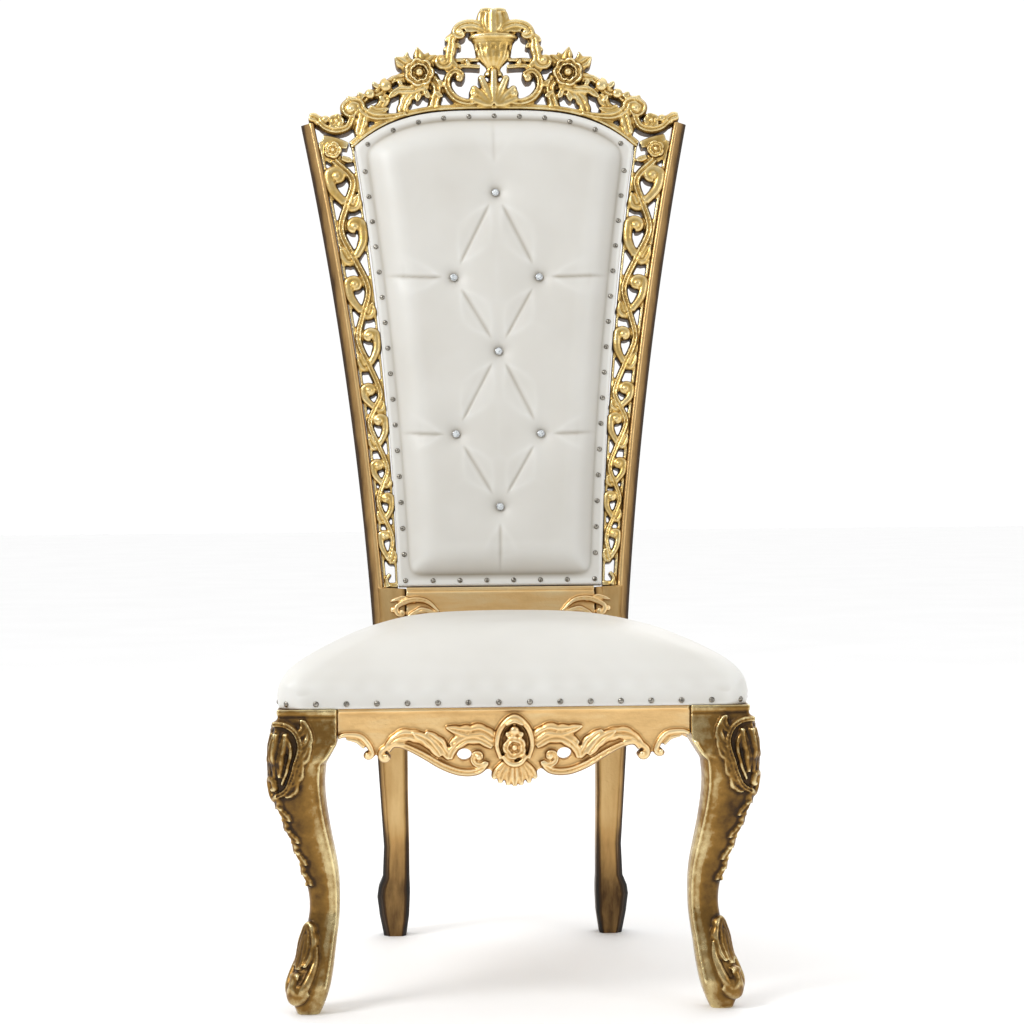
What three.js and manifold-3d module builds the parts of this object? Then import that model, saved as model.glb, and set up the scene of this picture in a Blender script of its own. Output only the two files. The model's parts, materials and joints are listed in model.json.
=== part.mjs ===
// High-backed throne chair, carved and gilded, with a buttoned back and a nailed seat.
// Millimetres. X is the sitter's width, Y runs from front to back, Z is up from the floor.
// Carved pieces are drawn on a flat plane (x across, v up, w towards the front) and then set in place.
import * as THREE from "three";
import { mergeVertices } from "three/addons/utils/BufferGeometryUtils.js";
import Module from "manifold-3d";

const wasm = await Module();
wasm.setup();

// Fit between neighbouring pieces
const GAP = 0.3;
// Facets that lie closer together than this are merged
const FACET_TOLERANCE = 1;

// Seat frame
const RAIL_TOP = 418.7;
const RAIL_THICK = 25;
const APRON_FRONT = -34;
const APRON_THICK = 24;
const APRON_END_LOW = 376;
const APRON_LIFT = 3.6;
const SIDE_RAIL_LOW = 342;
const SIDE_RAIL_ARCH = 12;
const REAR_RAIL_LOW = 346;
const REAR_RAIL_FRONT = 524;

// Front legs: height, outer face and inner face across the chair
const LEG_BLOCK_IN = 240.5;
const LEG_BLOCK_FRONT = -38;
const LEG_BLOCK_BACK = 39;
const LEG_OUT_TOP = 319;
const LEG_LEVELS = [
  [0, 299, 268],
  [26, 309, 256],
  [50, 311, 251],
  [64, 297, 249],
  [92, 293, 246],
  [122, 284, 241.5],
  [150, 281, 240],
  [186, 288, 240.5],
  [212, 296, 244],
  [238, 305, 249],
  [262, 315, 253],
  [292, 325, 257],
  [318, 330, 258.5],
  [344, 331, 256],
  [372, 329, LEG_BLOCK_IN],
  [404, 323, LEG_BLOCK_IN],
  [409, 320, LEG_BLOCK_IN],
  [412, 322, LEG_BLOCK_IN],
  [RAIL_TOP, 322, LEG_BLOCK_IN],
];
const LEG_SIDES = 12;

// Back legs and back posts: height, outer face, inner face, front face, depth, on level cuts
const POST_IN = 150;
const POST_DEPTH = 44;
const REAR_LEG_LEVELS = [
  [0, 190.5, 155, 541, 37],
  [34, 197, 150, 536, 41],
  [64, 200.5, 148.5, 531, 43],
  [78, 198.5, 148.5, 529, 43],
  [95, 191.5, 149, 526, 42],
  [146, 189, 149, 520, 43],
  [229, 194, POST_IN, 515.5, 44],
  [310, 199, POST_IN, 514, POST_DEPTH],
  [400, 202, POST_IN, 515, POST_DEPTH],
  [450, 203.5, POST_IN, 519.6, POST_DEPTH],
];
const LEG_CHAMFER = 8;

// The back leans: its plane starts at this height and depth
const BACK_BASE_Z = 516;
const BACK_BASE_Y = 530;
const RAKE = Math.atan(125 / 793);
const POST_TOP = 806;
const POST_LOW_OUT = 205;
const POST_FLARE = 60;
const POST_CURVE = 51;
const POST_FACE = 22;
const POST_FLANK = 13;
const SLANT_LEVELS = [120, 210, 300, 390, 480, 570, 660, 740];

// Buttoned panel
const PANEL_LOW = 42.5;
const PANEL_LOW_HALF = 162.5;
const PANEL_FLARE = 27;
const PANEL_CURVE = 40;
const PANEL_SIDE_TOP = 765;
const PANEL_BACK = -24;
const PANEL_BORDER = 2;
const PANEL_FACE = 28;
const BORDER_WIDE = 20;
const ARCH_TOP = 829.5;
const ARCH_DROP = 62;
const ARCH_HALF = 230;
const ARCH_POWER = 3.4;
const BUTTON_RADIUS = 6;
const BUTTON_THICK = 6;
const BUTTONS = [
  [0, 684],
  [-69, 543],
  [69, 543],
  [2, 421],
  [-68, 286],
  [68, 286],
  [1, 168],
];
const DIMPLE_DEPTH = 12;
const DIMPLE_RADIUS = 30;

// Seat cushion
const SEAT_FRONT = -40;
const SEAT_BACK = 507;
const SEAT_FRONT_HALF = 323;
const SEAT_BACK_HALF = 207;
const SEAT_CORNER = 34;
const SEAT_PROFILE = [
  [0, RAIL_TOP + GAP],
  [0, 441],
  [8, 462],
  [27, 483],
  [56, 505],
  [86, 520],
  [125, 527],
];
const SEAT_CROWN = 529;

// Carving
const BOARD_BACK = -24;
const RAIL_LOW_V = -14;
const RAIL_HIGH_V = 42;
const FRET_HALF_WAVES = [85, 96, 85, 87, 51, 72, 54, 61, 69];

// Finishes seen in the photograph
const goldLight = new THREE.MeshStandardMaterial({ color: "#d8b873", roughness: 0.38, metalness: 0.75 });
const goldCopper = new THREE.MeshStandardMaterial({ color: "#cf9f5c", roughness: 0.42, metalness: 0.7 });
const goldDark = new THREE.MeshStandardMaterial({ color: "#7a5c2c", roughness: 0.42, metalness: 0.7 });
const goldTan = new THREE.MeshStandardMaterial({ color: "#a58450", roughness: 0.45, metalness: 0.6 });
const whiteHide = new THREE.MeshStandardMaterial({ color: "#e8e7e1", roughness: 0.5, metalness: 0 });
const crystal = new THREE.MeshStandardMaterial({ color: "#dfe6ea", roughness: 0.08, metalness: 0.1 });

// A three.js geometry as a closed solid for joining and cutting.
function solidOf(geometry) {
  const plain = new THREE.BufferGeometry();
  const source = geometry.index ? geometry.toNonIndexed() : geometry;
  plain.setAttribute("position", source.getAttribute("position"));
  const merged = mergeVertices(plain, 1e-4);
  return new wasm.Manifold(
    new wasm.Mesh({
      numProp: 3,
      vertProperties: merged.attributes.position.array,
      triVerts: new Uint32Array(merged.index.array),
    }),
  );
}

// The same solid with its very small facets merged.
function thinned(solid) {
  return solid.asOriginal().simplify(FACET_TOLERANCE);
}

// The main body of a solid, without chips that a trim left beside it.
function mainBody(solid) {
  return solid.decompose().reduce((a, b) => (a.volume() > b.volume() ? a : b));
}

// A closed solid as a named mesh.
function meshOf(solid, name, material) {
  const data = solid.getMesh();
  const stride = data.numProp;
  const points = new Float32Array(data.numVert * 3);
  for (let i = 0; i < data.numVert; i++) {
    points.set(data.vertProperties.subarray(i * stride, i * stride + 3), i * 3);
  }
  const geometry = new THREE.BufferGeometry();
  geometry.setAttribute("position", new THREE.BufferAttribute(points, 3));
  geometry.setIndex(new THREE.BufferAttribute(data.triVerts, 1));
  geometry.computeVertexNormals();
  const mesh = new THREE.Mesh(geometry, material);
  mesh.name = name;
  return mesh;
}

// All the solids of a list joined into one.
function joined(list) {
  let level = list;
  while (level.length > 1) {
    const next = [];
    for (let i = 0; i < level.length; i += 2) {
      next.push(i + 1 < level.length ? level[i].add(level[i + 1]) : level[i]);
    }
    level = next;
  }
  return level[0];
}

// A closed skin over rings of equal length, capped at both ends.
function loft(rings) {
  const count = rings[0].length;
  const points = rings.flat(2);
  const faces = [];
  for (let r = 0; r + 1 < rings.length; r++) {
    for (let i = 0; i < count; i++) {
      const a = r * count + i;
      const b = r * count + ((i + 1) % count);
      faces.push(a, b, b + count, a, b + count, a + count);
    }
  }
  const last = (rings.length - 1) * count;
  if (count > 4) {
    const hub = points.length / 3;
    for (const ring of [rings[0], rings[rings.length - 1]]) {
      for (const axis of [0, 1, 2]) {
        points.push(ring.reduce((sum, p) => sum + p[axis], 0) / count);
      }
    }
    for (let i = 0; i < count; i++) {
      const j = (i + 1) % count;
      faces.push(hub, j, i, hub + 1, last + i, last + j);
    }
  } else {
    for (let i = 1; i + 1 < count; i++) {
      faces.push(0, i + 1, i, last, last + i, last + i + 1);
    }
  }
  const geometry = new THREE.BufferGeometry();
  geometry.setAttribute("position", new THREE.Float32BufferAttribute(points, 3));
  geometry.setIndex(faces);
  return geometry;
}

// A loft that faces outwards whichever way its rings were listed.
function skin(rings) {
  const made = solidOf(loft(rings));
  return made.volume() > 0 ? made : solidOf(loft(rings.map((ring) => [...ring].reverse())));
}

// Evenly spaced points of a smooth line through a few given ones.
function smooth(points, steps) {
  const curve = new THREE.CatmullRomCurve3(points.map(([x, v]) => new THREE.Vector3(x, v, 0)));
  return curve.getSpacedPoints(steps).map((p) => [p.x, p.y]);
}

// The points of a spiral that starts at one point and winds into an eye.
function spiral([startX, startV], [eyeX, eyeV], turns, endRadius) {
  const radius = Math.hypot(startX - eyeX, startV - eyeV);
  const angle = Math.atan2(startV - eyeV, startX - eyeX);
  const steps = Math.max(3, Math.ceil(Math.abs(turns) * 8));
  const points = [];
  for (let i = 1; i <= steps; i++) {
    const t = i / steps;
    const r = radius * (endRadius / radius) ** t;
    const a = angle + turns * 2 * Math.PI * t;
    points.push([eyeX + r * Math.cos(a), eyeV + r * Math.sin(a)]);
  }
  return points;
}

// Half width along a stroke, from its start, middle and end values.
function taper([start, middle, end], t) {
  return t < 0.5 ? start + (middle - start) * Math.sin(Math.PI * t) : end + (middle - end) * Math.sin(Math.PI * t);
}

// A carved band along a line: flat underneath, with sloped sides up to a narrower top, or to a ridge at no slope.
function stroke(path, halves, { base = BOARD_BACK, top = 4, steps = 8, slope = 0.5 } = {}) {
  const points = smooth(path, steps);
  const rings = points.map(([x, v], i) => {
    const before = points[Math.max(0, i - 1)];
    const after = points[Math.min(points.length - 1, i + 1)];
    const length = Math.hypot(after[0] - before[0], after[1] - before[1]);
    const nx = -(after[1] - before[1]) / length;
    const nv = (after[0] - before[0]) / length;
    const half = taper(halves, i / steps);
    const foot = [
      [x - nx * half, v - nv * half, base],
      [x + nx * half, v + nv * half, base],
    ];
    const crown = [
      [x + nx * half * slope, v + nv * half * slope, top],
      [x - nx * half * slope, v - nv * half * slope, top],
    ];
    return slope > 0 ? [...foot, ...crown] : [...foot, [x, v, top]];
  });
  const runs = [];
  const run = 5;
  for (let i = 0; i < steps; i += run) {
    runs.push(skin(rings.slice(i, Math.min(i + run, steps) + 1)));
  }
  return joined(runs);
}

// A stroke that runs through its points and then winds into an eye with a round knob.
function scroll(path, eye, turns, halves, options = {}) {
  const { knob = 3.5, top = 4, base = BOARD_BACK } = options;
  const end = path[path.length - 1];
  const whole = [...path, ...spiral(end, eye, turns, knob * 0.6)];
  return stroke(whole, halves, options).add(boss(eye, knob, base, top + 2, 6));
}

// A round knob with a smaller flat top.
function boss([x, v], radius, base, top, sides = 8) {
  const ring = (r, w) =>
    Array.from({ length: sides }, (_, i) => {
      const a = (2 * Math.PI * i) / sides;
      return [x + r * Math.cos(a), v + r * Math.sin(a), w];
    });
  return skin([ring(radius, base), ring(radius * 0.66, top)]);
}

// An open flower: a ring of petals round a raised heart.
function flower([x, v], radius, petals, base, top) {
  const ring = (outer, inner, w) =>
    Array.from({ length: petals * 2 }, (_, i) => {
      const a = (Math.PI * (i + 0.5)) / petals;
      const r = i % 2 ? inner : outer;
      return [x + r * Math.cos(a), v + r * Math.sin(a), w];
    });
  const rim = top - 3;
  const cup = skin([
    ring(radius, radius * 0.86, base),
    ring(radius, radius * 0.86, rim - 4),
    ring(radius * 0.78, radius * 0.7, rim),
    ring(radius * 0.52, radius * 0.48, rim - 6),
  ]);
  return cup.add(boss([x, v], radius * 0.4, base, top, 6));
}

// The same solid on the other side of the chair's middle.
function mirrored(solid) {
  return solid.mirror([1, 0, 0]);
}

// Outer edge of a back post at a height up the slant.
function postOut(v) {
  const t = v / 803;
  return POST_LOW_OUT + POST_FLARE * t + POST_CURVE * t * t;
}

// Edge of the buttoned panel at a height up the slant.
function panelHalf(v) {
  const t = (v - PANEL_LOW) / (PANEL_SIDE_TOP - PANEL_LOW);
  return PANEL_LOW_HALF + PANEL_FLARE * t + PANEL_CURVE * t * t;
}

// Underside of the arch over the buttoned panel.
function archUnder(x) {
  return ARCH_TOP - ARCH_DROP * (Math.abs(x) / ARCH_HALF) ** ARCH_POWER;
}

// A point of the leaning back plane in the chair's own frame.
function onBack(x, v, w) {
  const y = BACK_BASE_Y + v * Math.sin(RAKE) - w * Math.cos(RAKE);
  const z = BACK_BASE_Z + v * Math.cos(RAKE) + w * Math.sin(RAKE);
  return [x, y, z];
}

// Back leg and back post in one length, cut with a chamfer on the front edges.
function rearPost() {
  const ring = (outer, inner, chamferOut, chamferIn, depth, place) => [
    place(inner + chamferIn, 0),
    place(outer - chamferOut, 0),
    place(outer, -chamferOut),
    place(outer, -depth),
    place(inner, -depth),
    place(inner, -chamferIn),
  ];
  const rings = REAR_LEG_LEVELS.map(([z, outer, inner, front, depth]) =>
    ring(outer, inner, LEG_CHAMFER, LEG_CHAMFER * 0.6, depth, (x, w) => [x, front - w, z]),
  );
  const low = [-20, 0, PANEL_LOW - 2.5];
  const high = [PANEL_LOW - 0.5, ...SLANT_LEVELS, POST_TOP];
  for (const v of low) {
    const place = (x, w) => onBack(x, v, w);
    rings.push(ring(postOut(v), POST_IN, v < 0 ? LEG_CHAMFER + 2 : POST_FLANK, 3, POST_DEPTH, place));
  }
  for (const v of high) {
    const place = (x, w) => onBack(x, v, w);
    rings.push(ring(postOut(v), postOut(v) - POST_FACE, POST_FLANK, 1, POST_DEPTH, place));
  }
  return skin(rings);
}

// Outer, inner, front and back faces of the front leg at a height.
function legFaces(z) {
  let i = 0;
  while (i < LEG_LEVELS.length - 2 && LEG_LEVELS[i + 1][0] < z) {
    i++;
  }
  const [z0, out0, in0] = LEG_LEVELS[i];
  const [z1, out1, in1] = LEG_LEVELS[i + 1];
  const t = (z - z0) / (z1 - z0);
  const outer = out0 + (out1 - out0) * t;
  const inner = in0 + (in1 - in0) * t;
  const front = LEG_BLOCK_FRONT - (outer - LEG_OUT_TOP);
  const back = LEG_BLOCK_BACK - (inner - LEG_BLOCK_IN);
  return { outer, inner, front, back };
}

// A point on the skin of the right front leg: height, and angle from straight out to the side.
function legPoint(angle, z, lift = 0) {
  const { outer, inner, front, back } = legFaces(z);
  const halfX = (outer - inner) / 2;
  const halfY = (back - front) / 2;
  const block = THREE.MathUtils.smoothstep(z, 344, 374);
  const power = 3.6 + 30 * block;
  const c = Math.cos(angle);
  const s = Math.sin(angle);
  const reach = 1 / (Math.abs(c) ** power + Math.abs(s) ** power) ** (1 / power);
  const x = (outer + inner) / 2 + c * (halfX * reach + lift);
  const y = (front + back) / 2 - s * (halfY * reach + lift);
  return [x, y, z];
}

// A carved band that follows the leg's skin through points of angle and height.
function legStroke(path, halves, steps, height = 4) {
  const points = smooth(path, steps);
  const centres = points.map(([a, z]) => new THREE.Vector3(...legPoint(a / 60, z)));
  const rings = centres.map((p, i) => {
    const before = centres[Math.max(0, i - 1)];
    const after = centres[Math.min(centres.length - 1, i + 1)];
    const along = new THREE.Vector3().subVectors(after, before).normalize();
    const outward = new THREE.Vector3(...legPoint(points[i][0] / 60, points[i][1], 10)).sub(p).normalize();
    const side = new THREE.Vector3().crossVectors(along, outward).normalize();
    const half = taper(halves, i / steps);
    const at = (across, up) => p.clone().addScaledVector(side, across).addScaledVector(outward, up).toArray();
    return [at(-half, -4), at(half, -4), at(0, height)];
  });
  return skin(rings);
}

// Cabriole front leg on the right, with its carved knee, sprigs, ankle cup and scroll toe.
function frontLeg() {
  const rings = LEG_LEVELS.map(([z]) =>
    Array.from({ length: LEG_SIDES }, (_, i) => {
      const quarter = Math.floor(i / 3) * (Math.PI / 2);
      return legPoint(quarter + Math.PI / 4 + ((i % 3) - 1) * 0.27, z);
    }),
  );
  const parts = [skin(rings)];
  // Oval scroll round the knee, with flutes inside it
  const knee = [
    [52, 304],
    [74, 316],
    [86, 340],
    [87, 366],
    [76, 386],
    [56, 398],
    [34, 396],
    [16, 378],
  ];
  parts.push(legStroke(knee, [5, 3.6, 3.2], 10, 5));
  for (const [tip, low] of [[30, 24], [44, 36], [58, 48], [70, 60]]) {
    parts.push(legStroke([[low, 322], [tip - 4, 350], [tip, 384]], [2.4, 5, 3.4], 3, 4));
  }
  parts.push(legStroke([[52, 304], [38, 300], [30, 312], [38, 324], [48, 320]], [4.5, 4, 2.6], 6, 6));
  // Spray of leaves beside the scroll
  parts.push(legStroke([[76, 318], [96, 332], [98, 352]], [3, 5, 1], 4, 3));
  parts.push(legStroke([[86, 340], [101, 360], [97, 384]], [3, 5, 1], 4, 3));
  // Sprigs down the corner
  const sprigs = [[296, 46, 4.6], [270, 56, 5], [246, 44, 4.6], [222, 54, 4.4], [198, 46, 4], [178, 58, 3.4]];
  for (const [z, a, half] of sprigs) {
    parts.push(legStroke([[a - 3, z + 12], [a + 2, z], [a + (a > 50 ? 12 : -10), z - 14]], [2, half, 1], 3, 4));
  }
  // Leaf cup at the ankle
  for (const a of [16, 47, 78]) {
    parts.push(legStroke([[a, 66], [a, 92], [a + (a - 47) * 0.15, 122]], [6, 8, 1.5], 3, 3.5));
  }
  // Scroll toe
  parts.push(legStroke([[20, 62], [47, 52], [74, 62]], [5, 9, 5], 5, 6));
  return thinned(joined(parts));
}

// Front seat rail with its scrolls, leaves and rose boss, drawn on its front plane.
function apron() {
  const outline = new THREE.Shape();
  const edge = [
    [LEG_BLOCK_IN - GAP, APRON_END_LOW],
    [231, 380],
    [208, 377],
    [197, 365],
    [191, 351],
    [183, 351],
    [174, 360],
    [160, 366],
    [146, 363],
    [122, 351],
    [98, 337],
    [73, 328],
    [51, 329],
    [34, 330],
    [24, 318],
  ];
  outline.moveTo(LEG_BLOCK_IN - GAP, RAIL_TOP - APRON_LIFT);
  for (const [x, z] of edge) {
    outline.lineTo(x, z);
  }
  for (const [x, z] of [...edge].reverse()) {
    outline.lineTo(-x, z);
  }
  outline.lineTo(-(LEG_BLOCK_IN - GAP), RAIL_TOP - APRON_LIFT);
  const board = solidOf(
    new THREE.ExtrudeGeometry(outline, { depth: APRON_THICK, bevelEnabled: false }).translate(0, 0, -APRON_THICK),
  );
  const low = { base: -APRON_THICK, top: 5 };
  const raised = { base: -4, top: 5, steps: 4, slope: 0 };
  const half = [
    scroll([[238, 377], [229, 380], [210, 377], [198, 366], [194, 356]], [200, 352], -0.6, [3, 5, 4], {
      ...low,
      steps: 8,
      knob: 3.4,
    }),
    scroll([[176, 359], [163, 366], [146, 363], [122, 351], [98, 337], [73, 328], [52, 328], [39, 338]], [49, 347],
      1.1, [5, 6, 4], { ...low, steps: 14, knob: 5 }),
    scroll([[163, 366], [172, 362]], [176, 350], 0.6, [4, 4, 3], { ...low, steps: 6, knob: 4.5 }),
    stroke([[172, 365], [152, 376], [130, 374], [112, 360]], [4, 8, 3], raised),
    stroke([[134, 376], [116, 368], [102, 350]], [2, 7, 4], raised),
    stroke([[114, 376], [98, 364], [86, 344]], [2, 7, 4], raised),
    stroke([[28, 374], [44, 383], [64, 381], [92, 388]], [7, 8, 1], raised),
    stroke([[32, 364], [50, 370], [70, 370], [86, 358]], [5, 6, 3], raised),
    stroke([[12, 334], [22, 324], [30, 318]], [7, 6, 2], { base: -APRON_THICK, top: 6, steps: 3 }),
  ];
  const middle = [
    stroke([[0, 340], [0, 325], [0, 309]], [9, 8, 3], { base: -APRON_THICK, top: 8, steps: 3 }),
    stroke([[-20, 352], [-22, 372], [-13, 392], [0, 399], [13, 392], [22, 372], [20, 352]], [3, 4, 3], {
      base: -4,
      top: 12,
      steps: 10,
    }),
    boss([0, 362], 20, -4, 10, 10),
    boss([0, 360], 11, -4, 15, 8),
    boss([0, 384], 7, -4, 13, 8),
    stroke([[-19, 350], [-10, 341], [0, 338], [10, 341], [19, 350]], [3, 4, 3], { base: -4, top: 12, steps: 6 }),
  ];
  const opening = boss([68, 350], 10, -APRON_THICK - 5, APRON_THICK, 8);
  const halves = joined(half);
  const whole = joined([board, halves, mirrored(halves), ...middle]);
  return thinned(whole.subtract(opening).subtract(mirrored(opening)));
}

// The band of the arch, grown by a clearance where it is used to trim a neighbour.
function archBand(clearance) {
  const rings = [];
  const steps = 9;
  for (let i = 0; i <= steps; i++) {
    const x = -1 + ((ARCH_HALF + 4) * i) / steps;
    const low = archUnder(x) - clearance;
    const high = archUnder(x) + 8 + (4 * x) / ARCH_HALF + (x > 200 ? 3 : 0) + clearance;
    const back = BOARD_BACK - clearance;
    const front = 3 + clearance;
    rings.push([[x, low, back], [x, high, back], [x, high - 2, front], [x, low, front]]);
  }
  return skin(rings);
}

// The vase that stands in the middle of the crest, round in front and flattened in depth.
function vase() {
  const profile = [
    [0, 884],
    [15, 886],
    [16.5, 894],
    [12, 900],
    [26.5, 917],
    [33, 943],
    [41, 949],
    [42, 954],
    [0, 957],
  ];
  const sides = 10;
  const turned = new THREE.LatheGeometry(
    profile.map(([r, v]) => new THREE.Vector2(r, v)),
    sides,
  );
  turned.scale(1, 1, 0.5);
  turned.translate(0, 0, -6);
  const made = solidOf(turned);
  return made.volume() > 0 ? made : solidOf(turned.scale(-1, 1, 1));
}

// The pierced top rail, drawn on the back plane: one half and its mirror image, and the vase between.
function crest() {
  const flat = { top: 0, slope: 1, steps: 3 };
  const half = [
    archBand(0),
    // Fan of leaves under the vase
    stroke([[4, 832], [13, 856], [18, 888]], [7, 10, 6], { top: 8, steps: 3 }),
    stroke([[8, 834], [22, 848], [28, 872]], [6, 9, 6], flat),
    // Scroll beside the fan
    stroke([[54, 882], [64, 893], [75, 881], [74, 862], [62, 849], [46, 842], [32, 843]], [4, 8, 6], {
      top: 6,
      steps: 9,
    }),
    boss([31, 853], 9, BOARD_BACK, 9, 8),
    boss([57, 883], 8, BOARD_BACK, 8, 7),
    stroke([[78, 893], [54, 904], [20, 904]], [7, 5, 5], flat),
    stroke([[82, 908], [56, 916], [26, 917]], [6, 4.5, 4], flat),
    // Leaves over the rim of the vase
    stroke([[6, 960], [20, 968], [38, 972], [54, 966], [57, 956]], [9, 9, 7], { top: 7, steps: 6 }),
    stroke([[8, 962], [21, 974], [17, 993]], [8, 10, 7], { ...flat, top: 4, base: -18 }),
    // Hanging leaf and its scroll
    stroke([[56, 958], [68, 948], [68, 932], [76, 914]], [8, 10, 9], { top: 4, steps: 5 }),
    boss([83, 912], 12, BOARD_BACK, 7, 8),
    stroke([[66, 956], [78, 944]], [6, 7, 3], { ...flat, steps: 2 }),
    // Rose and its pointed leaves
    flower([122, 890], 26, 8, BOARD_BACK, 13),
    stroke([[120, 898], [122, 916], [125, 935]], [15, 11, 1], flat),
    stroke([[132, 898], [148, 908], [161, 917]], [16, 13, 2], flat),
    stroke([[134, 886], [148, 884], [161, 882]], [14, 12, 6], flat),
    stroke([[112, 900], [104, 912], [94, 920]], [14, 11, 5], flat),
    // Strut from the rose to the arch
    stroke([[104, 888], [93, 866], [99, 832]], [15, 11, 13], { ...flat, steps: 4 }),
    // Leaves below the rose
    stroke([[110, 872], [134, 862], [156, 860], [172, 850]], [11, 9, 5], { top: 5, steps: 4 }),
    stroke([[128, 862], [145, 846], [153, 818]], [10, 12, 12], { ...flat, steps: 4 }),
    // Knobbed stem down the shoulder
    stroke([[146, 884], [164, 881], [178, 867], [192, 858], [208, 851], [228, 838]], [8, 9, 10], {
      top: 2,
      steps: 6,
      slope: 0.7,
    }),
    boss([177, 869], 12, BOARD_BACK, 9, 8),
    boss([203, 855], 10, BOARD_BACK, 8, 7),
    // Scroll and leaves on the shoulder
    stroke([[146, 822], [172, 817], [198, 818], [214, 828], [226, 836]], [5, 11, 10], { top: 5, steps: 6 }),
    boss([234, 829], 12, BOARD_BACK, 9, 8),
    stroke([[212, 828], [217, 806], [222, 784]], [13, 12, 10], flat),
    stroke([[172, 856], [184, 838], [198, 818]], [10, 11, 12], flat),
    // Cradle at the corner, with its small flower and buds
    stroke([[287, 809], [276, 799], [258, 794], [240, 800], [232, 818]], [6.5, 7, 8], { top: 5, steps: 6 }),
    flower([258, 809], 13, 5, BOARD_BACK, 8),
    stroke([[282, 806], [292, 814], [304, 817]], [9, 10, 8], flat),
    boss([278, 813], 8, BOARD_BACK, 5, 7),
  ];
  const middle = [
    vase(),
    stroke([[0, 830], [0, 860], [0, 899]], [9, 12, 7], { top: 10, steps: 3, slope: 0 }),
    stroke([[0, 955], [0, 976], [0, 999]], [11, 15, 10], { top: 10, steps: 3, base: -20, slope: 0.4 }),
  ];
  const side = joined(half);
  const panel = skin([-60, 60].map((w) => panelOutline(-GAP).map(([x, v]) => [x, v, w])));
  const post = skin(
    [740, POST_TOP + GAP].map((v) => {
      const face = postOut(v) - POST_FACE - GAP;
      return [[face, v, -60], [400, v, -60], [400, v, 60], [face, v, 60]];
    }),
  );
  const whole = thinned(joined([side, mirrored(side), ...middle]));
  return mainBody(whole.subtract(panel).subtract(post).subtract(mirrored(post)));
}

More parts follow.
